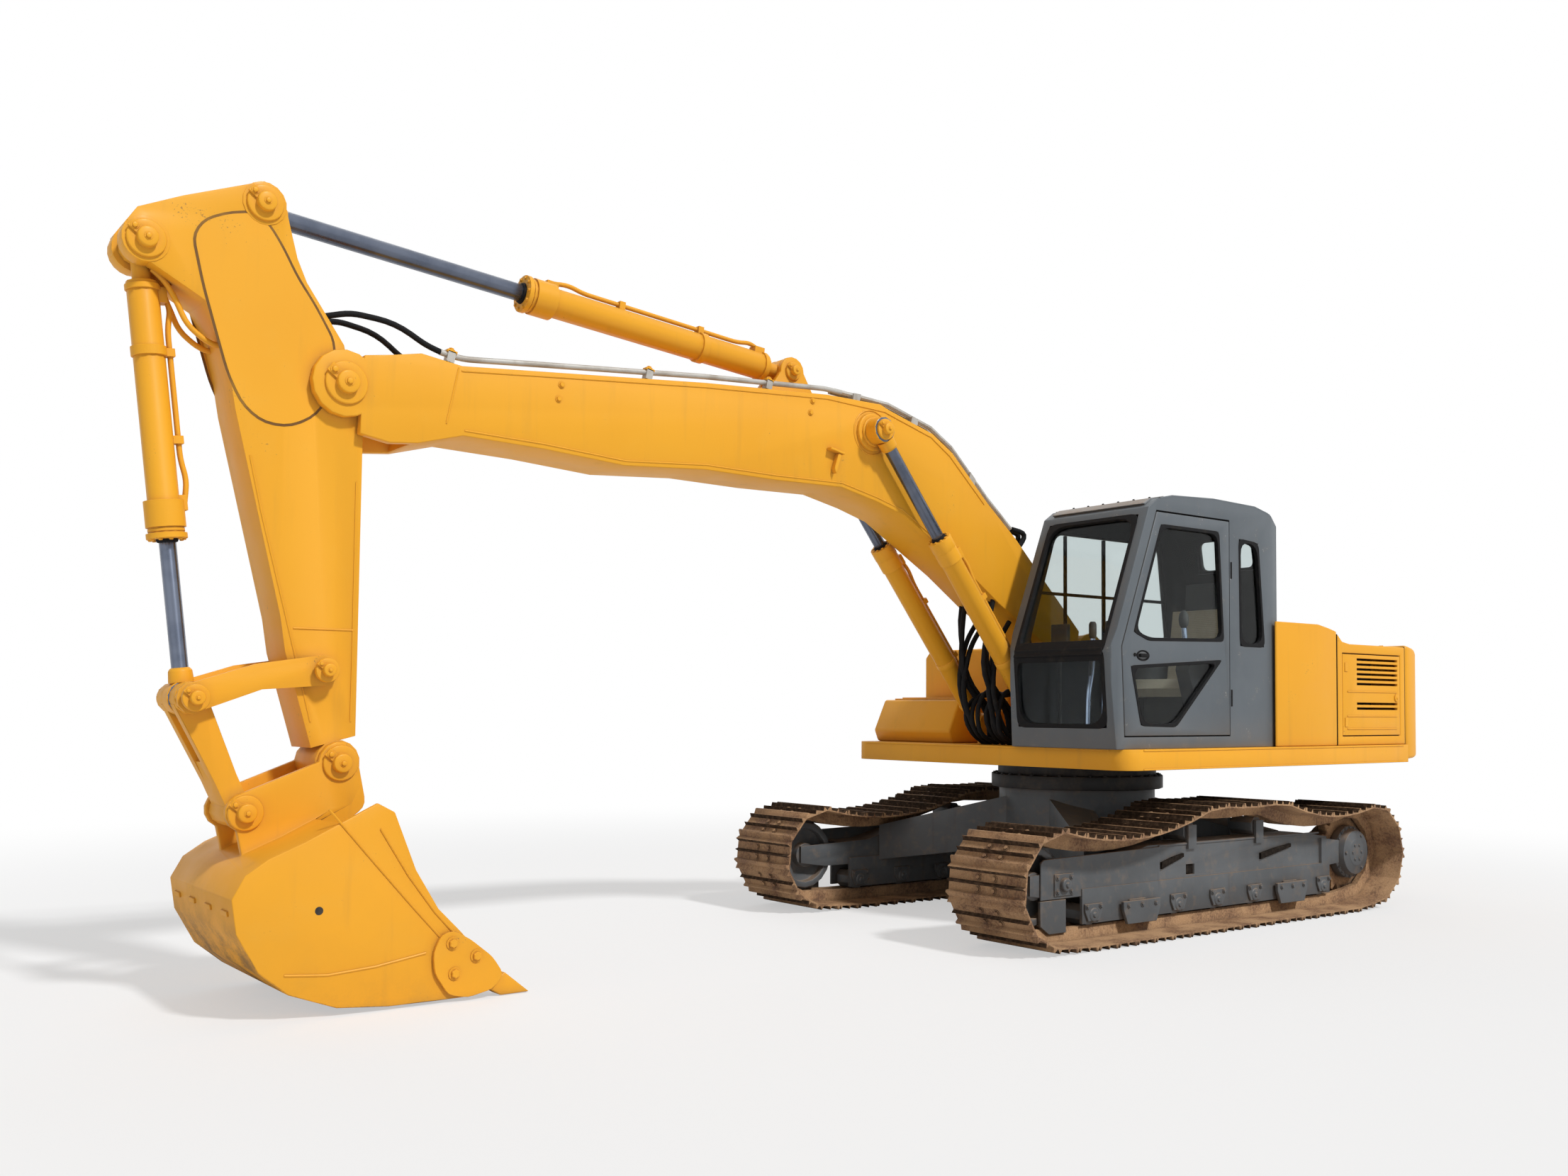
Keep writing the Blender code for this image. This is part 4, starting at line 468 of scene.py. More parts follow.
# the drive's profile: depth from its inner or outer face, share of its radius
DRIVE_INNER = ((0, 0.72), (0.05, 0.76), (0.06, 0.97), (0.185, 0.99), (0.188, 0.87), (0.252, 0.87), (0.255, 1))
DRIVE_OUTER = ((0.065, 1), (0.060, 0.90), (0.012, 0.84), (0.006, 0.55), (0, 0.50))
for side, out in (("left", 1), ("right", -1)):
    dressed("idler_" + side, side + "_idler", "undercarriage", GREY, 0.006)
    dressed("sprocket_" + side, side + "_sprocket", "undercarriage", RUSTY, 0.003)
    low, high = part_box("final_drive_" + side)
    axle = (low + high) / 2
    radius = (high.x - low.x) / 2
    half = (high.y - low.y) / 2
    profile = [(depth - half, radius * share) for depth, share in DRIVE_INNER]
    profile += [(half - depth, radius * share) for depth, share in DRIVE_OUTER]
    drive = moved(turned(side + "_drive", profile, 40), facing(axle, (0, out, 0)))
    places = []
    for count, share, back in ((20, 0.93, 0.064), (3, 0.70, 0.010), (6, 0.30, 0.004)):
        for a in around(count):
            spot = axle + Vector((radius * share * cos(a), out * (half - back), radius * share * sin(a)))
            places.append(facing(spot, (0, out, 0), a))
    fitted(rounded(drive, 0.004), "undercarriage", GREY, "final_drive_" + side)
    bolted(0.85, places, side + "_drive_bolts", "undercarriage", GREY)

# Track frames, rollers and car body
# Welded box beams on the car body's four legs, painted grey. The rollers' caps, two guards and the
# front plate are bolted to each beam, and slots open its sides for the track adjuster.


def block(name, low, high):
    """A block between two corners, to be shaped further."""
    deselected()
    low, high = Vector(low), Vector(high)
    bpy.ops.mesh.primitive_cube_add(size=1, location=(low + high) / 2)
    piece = bpy.context.object
    piece.name = name
    piece.scale = high - low
    bpy.ops.object.transform_apply(location=True, scale=True)
    return piece


def plate(name, outline, low, high, axis="Y", rim=0):
    """A plate of a flat outline between two levels of an axis, or only its rim."""
    deselected()
    low, high = sorted((low, high))
    bpy.ops.mesh.primitive_circle_add(vertices=len(outline), radius=1, fill_type="NGON")
    piece = bpy.context.object
    piece.name = name
    spread = {"Y": lambda a, b, t: (a, t, b), "Z": lambda a, b, t: (a, b, t)}[axis]
    for vertex, (a, b) in zip(piece.data.vertices, outline):
        vertex.co = spread(a, b, low)
    bpy.ops.object.mode_set(mode="EDIT")
    bpy.ops.mesh.select_all(action="SELECT")
    if rim:
        bpy.ops.mesh.inset(thickness=rim, use_even_offset=True)
        bpy.ops.mesh.delete(type="FACE")
        bpy.ops.mesh.select_all(action="SELECT")
    bpy.ops.mesh.extrude_region_move(TRANSFORM_OT_translate={"value": spread(0, 0, high - low)})
    bpy.ops.mesh.select_all(action="SELECT")
    bpy.ops.mesh.normals_make_consistent(inside=False)
    bpy.ops.object.mode_set(mode="OBJECT")
    return piece


def arc(start, corner, stop, steps):
    """Points along the curve that rounds a corner off."""
    return [start * (1 - t) ** 2 + corner * 2 * t * (1 - t) + stop * t ** 2
            for t in (step / steps for step in range(steps + 1))]


def softened(outline, radius, steps=4):
    """The outline with its corners rounded."""
    points = [Vector(point) for point in outline]
    soft = []
    for i, corner in enumerate(points):
        before, after = points[i - 1] - corner, points[(i + 1) % len(points)] - corner
        reach = min(radius, before.length * 0.48, after.length * 0.48)
        soft += arc(corner + before.normalized() * reach, corner, corner + after.normalized() * reach, steps)
    return soft


def cut(piece, *cutters):
    """The piece less its cutters."""
    for cutter in cutters:
        working_on(piece)
        cutting = piece.modifiers.new("cut", "BOOLEAN")
        cutting.operation = "DIFFERENCE"
        cutting.solver = "EXACT"
        cutting.object = cutter
        bpy.ops.object.modifier_apply(modifier=cutting.name)
        bpy.data.objects.remove(cutter)
    return piece


def fastened(parts, name, body, coat, width=0.002, segments=1):
    """Small parts made one piece, with rounded edges and on their body."""
    return fitted(rounded(joined(parts, name), width, segments), body, coat)


SLEW_X = (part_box("slew_ring")[0].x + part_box("slew_ring")[1].x) / 2
ROLLERS_X = [1.32 - 0.44 * step for step in range(7)]
ROLLER_CAP = ((-0.02, 0.052), (0.012, 0.050), (0.022, 0.040), (0.022, 0.018), (0.030, 0.016))
IDLER_HUB = ((-0.02, 0.046), (0.020, 0.044), (0.028, 0.036), (0.028, 0.018), (0.038, 0.016))
BRACKET = ((-0.085, 0.262), (0.085, 0.262), (0.085, 0.215), (0.055, 0.150), (-0.055, 0.150), (-0.085, 0.215))
GUARDS_X = (0.865, -0.870)
GUARD = ((-0.19, 0.255), (0.19, 0.255), (0.19, 0.200), (0.15, 0.105), (-0.15, 0.105), (-0.19, 0.200))
SLOTS_X = ((0.60, 0.36), (-0.54, -0.92))
# a cover's outline from the slew ring's axis, and its two levels from the beam's middle
COVERS = ((((0.62, 0.588), (1.77, 0.566), (1.80, 0.545), (1.80, 0.312), (0.62, 0.312)), 0.1002, 0.112),
          (((1.56, 0.306), (1.80, 0.306), (1.80, 0.150), (1.72, 0.095), (1.56, 0.095)), 0.086, 0.108),
          (((1.50, 0.470), (1.68, 0.470), (1.68, 0.330), (1.50, 0.330)), 0.112, 0.122),
          (((-1.30, 0.598), (0.62, 0.598), (0.62, 0.584), (-1.30, 0.584)), 0.1002, 0.108))
HUB_BOLTS = [(x, z) for z in (0.445, 0.355) for x in (1.525, 1.655)]


def from_slew(outline, x=0.0):
    """An outline measured from the slew ring's axis, or from a place ahead of it."""
    return [(SLEW_X + x + a, b) for a, b in outline]


frame_low, frame_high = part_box("track_frame_left")
for side, out in (("left", 1), ("right", -1)):
    beam = copied("track_frame_" + side, side + "_track_frame")
    plane = out * (frame_high.y - 0.020)
    middle = out * (frame_low.y + frame_high.y) / 2
    # the dark plates set into the slots and the hole are painted shade inside the openings
    cutters, shades = [], []
    for near, far in SLOTS_X:
        half = (near + far) / 2
        wedge = from_slew(((near, 0.435), (near, 0.480), (half, 0.510),
                           (far, 0.530), (far, 0.505), (half, 0.470)))
        for face in (middle - 0.100, middle + 0.100):
            cutters.append(plate("slot", wedge, face - 0.03, face + 0.03))
            shades.append(plate("shade", wedge, face - 0.015, face + 0.015))
    cutters.append(block("hole", (SLEW_X + 0.225, plane - 0.03, 0.378),
                         (SLEW_X + 0.320, plane + 0.03, 0.450)))
    shades.append(block("shade", (SLEW_X + 0.226, plane - 0.015, 0.379),
                        (SLEW_X + 0.319, plane - 0.014, 0.449)))
    cut(beam, *cutters)
    fitted(joined(shades, side + "_frame_slots"), "undercarriage", SHADE)
    fitted(rounded(beam, 0.005), "undercarriage", GREY, "track_frame_" + side)
    hardware, heads = [], []
    for x in ROLLERS_X:
        for away in (out, -out):
            face = middle + away * 0.120
            cap = turned("cap", ROLLER_CAP, 20)
            hardware.append(moved(cap, facing((SLEW_X + x, middle + away * 0.118, 0.190), (0, away, 0))))
            hardware.append(plate("bracket", from_slew(BRACKET, x), face, face + away * 0.014))
            heads += [facing((a, face + away * 0.016, b), (0, away, 0))
                      for a, b in from_slew(((-0.065, 0.243), (0.065, 0.243)), x)]
    for x in GUARDS_X:
        hardware.append(plate("guard", from_slew(GUARD, x), middle + out * 0.136, middle + out * 0.160))
        heads += [facing((SLEW_X + x + a, middle + out * 0.162, 0.225), (0, out, 0))
                  for a in (-0.14, 0, 0.14)]
    for outline, near, far in COVERS:
        hardware.append(plate("cover", from_slew(outline), middle + out * near, middle + out * far))
    heads += [facing((a, middle + out * 0.124, b), (0, out, 0)) for a, b in from_slew(HUB_BOLTS)]
    hub = turned("hub", IDLER_HUB, 24)
    hardware.append(moved(hub, facing((SLEW_X + 1.590, middle + out * 0.122, 0.400), (0, out, 0))))
    fastened(hardware, side + "_frame_plates", "undercarriage", GREY, 0.003)
    bolted(0.9, heads, side + "_frame_bolts", "undercarriage", GREY)
dressed("car_body", "body_of_legs", "undercarriage", GREY, 0.010)


def greasy_steel():
    paint = Finish("greasy dark steel")
    cloud = paint.noise(9.0, 6.0)
    grain = paint.noise(90.0, 5.0)
    colour = paint.mix(cloud.over(0.4, 0.7), (0.020, 0.019, 0.019), (0.060, 0.048, 0.038))
    dusty = paint.facing_up().over(0.4, 0.95) * 0.5
    return paint.done(paint.shader(base_color=paint.mix(dusty, colour, (0.20, 0.13, 0.08)),
                                   roughness=0.40 + 0.35 * cloud, metallic=0.3,
                                   normal=paint.bump(grain, 0.0008, 0.5)))


DARK = ("dark_steel", greasy_steel())
RING_BOLT_RADIUS = 0.625
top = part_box("slew_ring")[1].z - 0.001
places = [facing((SLEW_X + RING_BOLT_RADIUS * cos(a), RING_BOLT_RADIUS * sin(a), top), (0, 0, 1), a)
          for a in around(36)]
dressed("slew_ring", "swing_ring", "undercarriage", DARK, 0.006)
bolted(0.9, places, "swing_ring_bolts", "undercarriage", DARK)

# Deck
# The welded main frame carries everything that swings. Its edge is a folded plate in the machine's
# yellow, its underside and turntable are in dark steel, and two plates hold the boom.


def machine_paint(name="machine yellow", colour=(0.900, 0.420, 0.021), soil=0.35, rubbed=0.0):
    paint = Finish(name)
    tone = paint.noise(0.55, 3.0)
    cloud = paint.noise(5.0, 6.0)
    grain = paint.noise(85.0, 5.0)
    peel = paint.noise(420.0, 2.0)
    drips = paint.noise(11.0, 5.0, stretch=(1, 1, 0.10))
    fresh = paint.mix(tone.over(0.30, 0.70) * 0.6, colour,
                      tuple(c * k for c, k in zip(colour, (0.90, 0.83, 0.70))))
    faded = paint.mix(cloud.over(0.50, 0.80) * 0.25, fresh, (0.88, 0.45, 0.045))
    dirt_and_crevice_shade = drips.over(0.54, 0.80) * 0.34 * soil + (1 - paint.height().over(0.1, 1.5)) * soil * 0.40 * cloud
    # the crevice term darkens corners and creases towards brown: painted shade, added to the real drips, low
    # dirt and dust on top
    dirt_and_crevice_shade = dirt_and_crevice_shade + paint.facing_up().over(0.5, 1.0) * 0.25 * soil + paint.crevices(0.06) * 0.45
    soiled_and_shaded = paint.mix(dirt_and_crevice_shade, faded, (0.30, 0.165, 0.055))
    scuffed = (cloud * 0.45 + grain * 0.55).over(0.645, 0.685)
    worn = paint.mix(scuffed * 0.65, soiled_and_shaded, (0.25, 0.12, 0.045))
    under = (1 - paint.facing_up()).over(1.10, 1.60) * (cloud * 0.7 + grain * 0.3).over(0.41, 0.60)
    bare = paint.mix(under * rubbed, worn, (0.080, 0.056, 0.040))
    return paint.done(paint.shader(base_color=bare, roughness=0.40 + 0.25 * cloud + 0.25 * dirt_and_crevice_shade,
                                   specular_ior_level=0.3, coat_weight=0.06, coat_roughness=0.2,
                                   normal=paint.bump(peel * 0.4 + grain * 0.6, 0.0005, 0.35)))


YELLOW = ("machine_orange", machine_paint())
DECK_UNDER = 1.1105
deck = two_toned(copied("deck_frame", "main_deck"), YELLOW[1], DARK[1],
                 lambda face: face.center.z < DECK_UNDER)
fitted(rounded(deck, 0.008), "house", YELLOW, "deck_frame")
DECK_HALF = 1.370
# the folded lip's lower and upper level along the top edge, and along the bottom one
TOP_LIP, BOTTOM_LIP = (1.236, 1.2495), (1.1110, 1.122)
lips = [block("lip", (-4.40, out * DECK_HALF - 0.004, low), (-1.15, out * DECK_HALF + 0.005, high))
        for out in (1, -1) for low, high in (TOP_LIP, BOTTOM_LIP)]
lips.append(block("lip", (-0.992, -1.22, TOP_LIP[0]), (-0.980, 1.22, TOP_LIP[1])))
fastened(lips, "deck_lips", "house", YELLOW)

PIN_PROUD, PIN_REST = 0.052, 0.01664


def pin_head(point, out, radius):
    """A pin's end: a turned collar with a domed cap, kept by a bolted flag plate."""
    collar = turned("collar", ((-0.008, radius), (PIN_REST * 0.7, radius), (PIN_REST, radius * 0.95),
                               (PIN_REST, radius * 0.54), (PIN_PROUD * 0.94, radius * 0.52),
                               (PIN_PROUD, radius * 0.44)), 32)
    top = PIN_REST + 0.012
    flag = block("flag", (-radius * 0.24, radius * 0.15, PIN_REST), (radius * 0.24, radius * 1.05, top))
    screw = moved(bolt(min(1.2, radius * 11)), Matrix.Translation((0, radius * 0.80, top)))
    centre = moved(bolt(min(1.3, radius * 11)), Matrix.Translation((0, 0, PIN_PROUD)))
    return moved(joined([collar, flag, screw, centre], "pin_head"), facing(point, (0, out, 0), 0.9))


def pin_heads(name, body, spots):
    """Heads at both ends of each pin. Spots: along, height, distance from the middle, radius."""
    heads = [pin_head((x, out * y, z), out, radius) for x, z, y, radius in spots for out in (1, -1)]
    fastened(heads, name, body, YELLOW, 0.0015)


BOOM_FOOT = Vector((-1.95454, 0, 1.93))
RAM_FOOT = Vector((-1.33454, 0, 1.400))
pin_heads("boom_foot_pins", "house",
          ((BOOM_FOOT.x, BOOM_FOOT.z, 0.2497, 0.088), (RAM_FOOT.x, RAM_FOOT.z, 0.3503, 0.058)))

# Counterweight, engine housing, tanks and boxes
# The cast counterweight closes the rear. Pressed sheet panels in the machine's yellow cover the
# engine, pumps and tanks, with louvred doors on both sides and a lid on top.

PANELS = {"counterweight": ("house", 0.030), "engine_housing": ("house", 0.010),
          "side_housing": ("house", 0.018), "valve_cover": ("house", 0.014), "hydraulic_tank": ("house", 0.020),
          "fuel_tank": ("house", 0.020), "tool_box": ("house", 0.018),
          "side_door_left": ("side_door_left", 0.004),
          "side_door_right": ("side_door_right", 0.004), "engine_lid": ("engine_lid", 0.006)}
for node, (body, edge) in PANELS.items():
    dressed(node, node + "_panel", body, YELLOW, edge, 3)
for node in ("engine_block", "cooler_core"):
    dressed(node, node + "_casting", "house", DARK, 0.012)

BLACK = ("black_plastic",
         clouded("black rubber", (15.0, 5.0), (0.50, 0.85), ((0.010, 0.010, 0.011), (0.030, 0.026, 0.022)),
                 (0.60, 0.3), (240.0, 4.0, 0.0006, 0.5), specular_ior_level=0.15))
for side, out in (("left", 1), ("right", -1)):
    body = "side_door_" + side
    low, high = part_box(body)
    face = high.y if out > 0 else low.y
    parts = [block("rib", (low.x + 0.05, face - 0.003, z), (high.x - 0.06, face + 0.006, z + 0.010))
             for z in (1.372, 1.470, 1.660)]
    parts += [block("hinge", (high.x - 0.065, face - 0.003, z - 0.035),
                    (high.x - 0.025, face + 0.006, z + 0.035))
              for z in (low.z + 0.10, high.z - 0.10)]
    lock = turned("lock", ((-0.004, 0.030), (0.008, 0.030), (0.010, 0.024), (0.010, 0.012),
                           (0.016, 0.010)), 20)
    parts.append(moved(lock, facing((low.x + 0.055, face, 1.62), (0, out, 0))))
    fastened(parts, body + "_fittings", body, YELLOW)
    near, far, foot, top = low.x - 0.006, high.x + 0.002, low.z - 0.006, high.z + 0.006
    seal = plate("seal", ((near, foot), (far, foot), (far, top), (near, top)),
                 face - out * 0.022, face - out * 0.014, rim=0.016)
    fitted(joined([seal], side + "_door_seal"), "house", BLACK)

UP = (0, 0, 1)
parts, heads = [], []
for out in (1, -1):
    eye = turned("eye", ((0, 0.055), (0.012, 0.055), (0.030, 0.046), (0.030, 0.020), (0.010, 0.018)), 24)
    parts.append(moved(eye, facing((-4.640, out * 0.62, 2.020), UP)))
    parts.append(block("slot", (-4.8915, out * 0.30 - 0.16, 1.245), (-4.880, out * 0.30 + 0.16, 1.300)))
    heads += [facing((-4.560, out * y, 2.038), UP) for y in (0.95, 1.10)]
fastened(parts, "counterweight_fittings", "house", YELLOW, 0.003)
bolted(1.4, heads, "counterweight_bolts", "house", YELLOW)

low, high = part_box("engine_lid")
under = high.z - 0.002
parts = []
for step in range(7):
    x = low.x + 0.10 + step * 0.062
    parts.append(block("rib", (x, low.y + 0.18, under), (x + 0.030, high.y - 0.18, high.z + 0.012)))
for y in (low.y + 0.12, high.y - 0.12):
    parts.append(block("hinge", (high.x - 0.05, y - 0.05, under), (high.x - 0.002, y + 0.05, high.z + 0.014)))
parts.append(block("catch", (low.x + 0.01, -0.05, under), (low.x + 0.05, 0.05, high.z + 0.016)))
fastened(parts, "lid_fittings", "engine_lid", YELLOW, 0.003)

# a filler cap or a bolted cover: its place, radius and height
CAPS = ((-3.05, -0.86, 2.000, 0.105, 0.030), (-2.15, -0.62, 2.000, 0.060, 0.055),
        (-2.15, -1.05, 2.000, 0.085, 0.020), (-3.25, 0.02, 1.900, 0.070, 0.030))
# a panel seam: its rear and front edge, right and left end, and top
SEAMS = ((-3.492, -3.486, -1.3515, -0.41, 2.000), (-2.553, -2.549, -1.352, -0.41, 1.995),
         (-3.490, -3.486, 0.40, 1.3515, 2.100), (-4.474, -4.469, -1.345, 1.345, 2.035))
SEAM_FOOT = 1.252
parts, heads = [], []
for x, y, z, radius, tall in CAPS:
    cap = turned("cap", ((-0.006, radius), (tall * 0.5, radius), (tall * 0.55, radius * 0.82),
                         (tall, radius * 0.80), (tall * 1.05, radius * 0.70)), 28)
    parts.append(moved(cap, facing((x, y, z), UP)))
    ring = radius * 0.91
    heads += [facing((x + ring * cos(a), y + ring * sin(a), z + tall * 0.5), UP) for a in around(8)]
parts.append(block("tread", (-1.70, -1.30, 1.5848), (-1.36, -0.54, 1.597)))
parts.append(block("tread", (-3.44, -0.34, 1.8995), (-3.10, 0.32, 1.906)))
parts += [block("bar", (x, -1.27, 1.596), (x + 0.020, -0.57, 1.606)) for x in (-1.66, -1.585, -1.51, -1.435)]
parts += [block("strap", (x - 0.025, -1.3535, 1.30), (x + 0.025, -1.345, 1.90)) for x in (-3.02, -2.15)]
fastened(parts, "housing_covers", "house", YELLOW, 0.003)
bolted(0.62, heads, "cover_bolts", "house", YELLOW)
trims = [block("seam", (rear, near, SEAM_FOOT), (front, far, top)) for rear, front, near, far, top in SEAMS]
fitted(joined(trims, "panel_seams"), "house", BLACK)

# Cab
# Pressed steel posts and a rounded roof, painted blue-grey, with tinted panes held in black rubber.
# A sprung seat stands between two consoles, and two bright levers steer the tracks.

CAB_REAR_X, CAB_FLOOR_Z = -2.91454, 1.2503
CAB_LENGTH, CAB_HEIGHT = 2.020, 1.750
CAB_SIDE_Y, CAB_FAR_Y = 1.315, 0.385
CAB_WIDTH = CAB_SIDE_Y - CAB_FAR_Y
CAB_MIDDLE = Vector((-1.90, 0.85, 2.12))


def on_cab(*shares):
    """Points of the cab's side from shares of its length and height."""
    return [(CAB_REAR_X + along * CAB_LENGTH, CAB_FLOOR_Z + up * CAB_HEIGHT) for along, up in shares]


def cab_paint():
    paint = Finish("cab grey")
    tone = paint.noise(1.1, 4.0)
    cloud = paint.noise(9.0, 6.0)
    grain = paint.noise(110.0, 5.0)
    colour = paint.mix(tone.over(0.35, 0.65), (0.080, 0.096, 0.110), (0.098, 0.115, 0.130))
    dusty = cloud.over(0.55, 0.85) * 0.22 + (1 - paint.height().over(1.25, 1.55)) * 0.30 * cloud
    dusty = dusty + paint.crevices(0.05) * 0.3
    colour = paint.mix(dusty, colour, (0.26, 0.205, 0.155))
    chips = (cloud * 0.5 + grain * 0.5).over(0.640, 0.670)
    colour = paint.mix(chips * 0.7, colour, (0.42, 0.42, 0.40))
    return paint.done(paint.shader(base_color=colour, roughness=0.38 + 0.3 * cloud, coat_weight=0.1,
                                   coat_roughness=0.3, normal=paint.bump(grain, 0.0004, 0.4)))


CAB = ("cab_grey", cab_paint())
for node, name, body, edge, segments in (("cab_shell", "cab_posts", "house", 0.016, 3),
                                         ("cab_door", "cab_door_panel", "cab_door", 0.006, 2)):
    piece = two_toned(copied(node, name), CAB[1], BLACK[1],
                      lambda face: (CAB_MIDDLE - face.center).dot(face.normal) > 0.05)
    fitted(rounded(piece, edge, segments), body, CAB, node)


def pane_glass():
    paint = Finish("tinted glass")
    haze = paint.noise(3.0, 5.0)
    body = paint.shader(base_color=(0.74, 0.79, 0.79), roughness=0.02 + 0.03 * haze,
                        transmission_weight=1.0, ior=1.18)
    clear = paint.node("ShaderNodeBsdfTransparent", {"Color": (0.80, 0.84, 0.84)})
    shade = paint.node("ShaderNodeLightPath", out="Is Shadow Ray")
    return paint.done(paint.node("ShaderNodeMixShader", {0: shade, 1: body, 2: clear}))


glass_finish = pane_glass()
for node in frame["nodes"]:
    if "glass" in node:
        frame["nodes"][node].data.materials.clear()
        frame["nodes"][node].data.materials.append(glass_finish)


def grown(outline, distance):
    """The outline moved outwards; it runs either way round."""
    points = [Vector(point) for point in outline]
    area = sum(a.x * b.y - b.x * a.y for a, b in zip(points, points[1:] + points[:1]))
    turn = 1 if area > 0 else -1
    moved_points = []
    for i, corner in enumerate(points):
        into = (corner - points[i - 1]).normalized()
        away = (points[(i + 1) % len(points)] - corner).normalized()
        normal = Vector((into.y + away.y, -into.x - away.x)) * turn / (1 + into.dot(away))
        moved_points.append(corner + normal * distance)
    return moved_points


def gasket(outline, low, high, axis="Y", outside=0.006, inside=0.016, soft=0.08):
    """A rubber frame round a pane, its inner edge rounded."""
    ring = plate("rim", softened(grown(outline, outside), soft * 0.5), low, high, axis)
    return cut(ring, plate("opening", softened(grown(outline, -inside), soft), low - 0.02, high + 0.02, axis))


def across_cab(low, high):
    """The matrix of a face of the cab: X across the cab, Y up from low to high, Z outwards."""
    up = (high - low).normalized()
    axes = (Vector((0, 1, 0)), up, Vector((0, 1, 0)).cross(up))
    return Matrix.Translation(low + Vector((0, CAB_FAR_Y, 0))) @ Matrix(axes).transposed().to_4x4()


DOOR_PANES = (on_cab((0.401, 0.429), (0.812, 0.417), (0.886, 0.446), (0.743, 0.866), (0.426, 0.866)),
              on_cab((0.668, 0.086), (0.851, 0.091), (0.901, 0.314), (0.416, 0.349)))
QUARTER_PANE = on_cab((0.158, 0.414), (0.302, 0.414), (0.307, 0.849), (0.193, 0.840))
RIGHT_PANE = on_cab((0.119, 0.429), (0.911, 0.40), (0.762, 0.886), (0.168, 0.886))
SIDE_RUBBER = (CAB_SIDE_Y - 0.030, CAB_SIDE_Y + 0.004)
fastened([gasket(pane, *SIDE_RUBBER) for pane in DOOR_PANES], "door_gaskets", "cab_door", BLACK)
rims = [gasket(QUARTER_PANE, *SIDE_RUBBER, soft=0.11),
        gasket(RIGHT_PANE, CAB_FAR_Y + 0.002, CAB_FAR_Y + 0.030)]
# the two front panes and the rear one: the face's lower and upper corner as shares of the cab, the
# pane's foot and head as shares of the face, its margin at the sides, and how soft its corners are
FACES = (((0.975, 0), (1, 0.371), 0.22, 1.02, 0.075, 0.14),
         ((1, 0.371), (0.807, 0.931), -0.02, 0.95, 0.075, 0.14),
         ((0.059, 0.92), (0.03, 0.743), 0.10, 0.92, 0.220, 0.05))
for start, stop, low, high, margin, soft in FACES:
    start, stop = (Vector((x, 0, z)) for x, z in on_cab(start, stop))
    foot, head = start.lerp(stop, low), start.lerp(stop, high)
    far, tall = CAB_WIDTH - margin, (head - foot).length
    rim = gasket(((margin, 0), (far, 0), (far, tall), (margin, tall)), -0.030, 0.004, "Z", 0.008, 0.020, soft)
    rims.append(moved(rim, across_cab(foot, head)))
bar = [Vector((x, 0, z)) for x, z in on_cab((0.9985, 0.350), (1.0005, 0.3715), (0.989, 0.402))]
for low, high in zip(bar, bar[1:]):
    strip = block("bar", (0.078, -0.030, -0.020), (CAB_WIDTH - 0.078, (high - low).length + 0.020, 0.005))
    rims.append(moved(strip, across_cab(low, high)))
for x, z, end_x, end_z in ((-1.93, 1.98, -1.90, 2.78), (-1.50, 1.97, -1.475, 2.78),
                           (-2.62, 2.34, -1.12, 2.362)):
    rims.append(block("bar", (x, CAB_FAR_Y + 0.012, z), (end_x, CAB_FAR_Y + 0.032, end_z)))
fastened(rims, "cab_gaskets", "house", BLACK)

seam = plate("door_seam",
             on_cab((0.364, 0.046), (0.936, 0.046), (0.950, 0.389), (0.767, 0.92), (0.364, 0.92)),
             CAB_SIDE_Y - 0.034, CAB_SIDE_Y - 0.022, rim=0.020)
fitted(seam, "house", BLACK)
hinges = [block("hinge", (-2.208, CAB_SIDE_Y - 0.004, z - 0.060), (-2.190, CAB_SIDE_Y + 0.004, z + 0.060))
          for z in (2.506, 1.600)]
fastened(hinges, "door_hinges", "house", BLACK, 0.003)
HANDLE = facing((-1.215, CAB_SIDE_Y, 1.874), (0, 1, 0))
KEYHOLE = facing((-1.130, CAB_SIDE_Y, 1.878), (0, 1, 0))
dish = turned("dish", ((-0.003, 0.052), (0.004, 0.050), (0.004, 0.040), (-0.002, 0.034)), 28)
fastened([moved(dish, HANDLE @ Matrix.Diagonal((1.35, 0.72, 1, 1))),
          moved(block("grip", (-0.045, -0.012, 0.002), (0.045, 0.012, 0.020)), HANDLE),
          moved(turned("keyhole", ((-0.003, 0.012), (0.006, 0.012), (0.008, 0.008)), 16), KEYHOLE)],
         "door_handle", "cab_door", BLACK, 0.003, 2)


def pipe(name, points, radius, sides=10, bend=0.0):
    """A round bar or hose that follows a row of points, its corners rounded."""
    points = [Vector(point) for point in points]
    if bend:
        path = [points[0]]
        for before, corner, after in zip(points, points[1:], points[2:]):
            back, on_way = before - corner, after - corner
            reach = min(bend, back.length * 0.5, on_way.length * 0.5)
            path += arc(corner + back.normalized() * reach, corner, corner + on_way.normalized() * reach, 4)
        points = path + [points[-1]]
    deselected()
    curve = bpy.data.curves.new(name, "CURVE")
    curve.dimensions = "3D"
    line = curve.splines.new("POLY")
    line.points.add(len(points) - 1)
    for knot, point in zip(line.points, points):
        knot.co = (*point, 1)
    curve.bevel_depth = radius
    curve.bevel_resolution = max(1, sides // 2 - 2)
    curve.use_fill_caps = True
    working_on(placed(name, curve))
    bpy.ops.object.convert(target="MESH")
    bpy.ops.object.shade_smooth_by_angle(angle=radians(50))
    return bpy.context.object


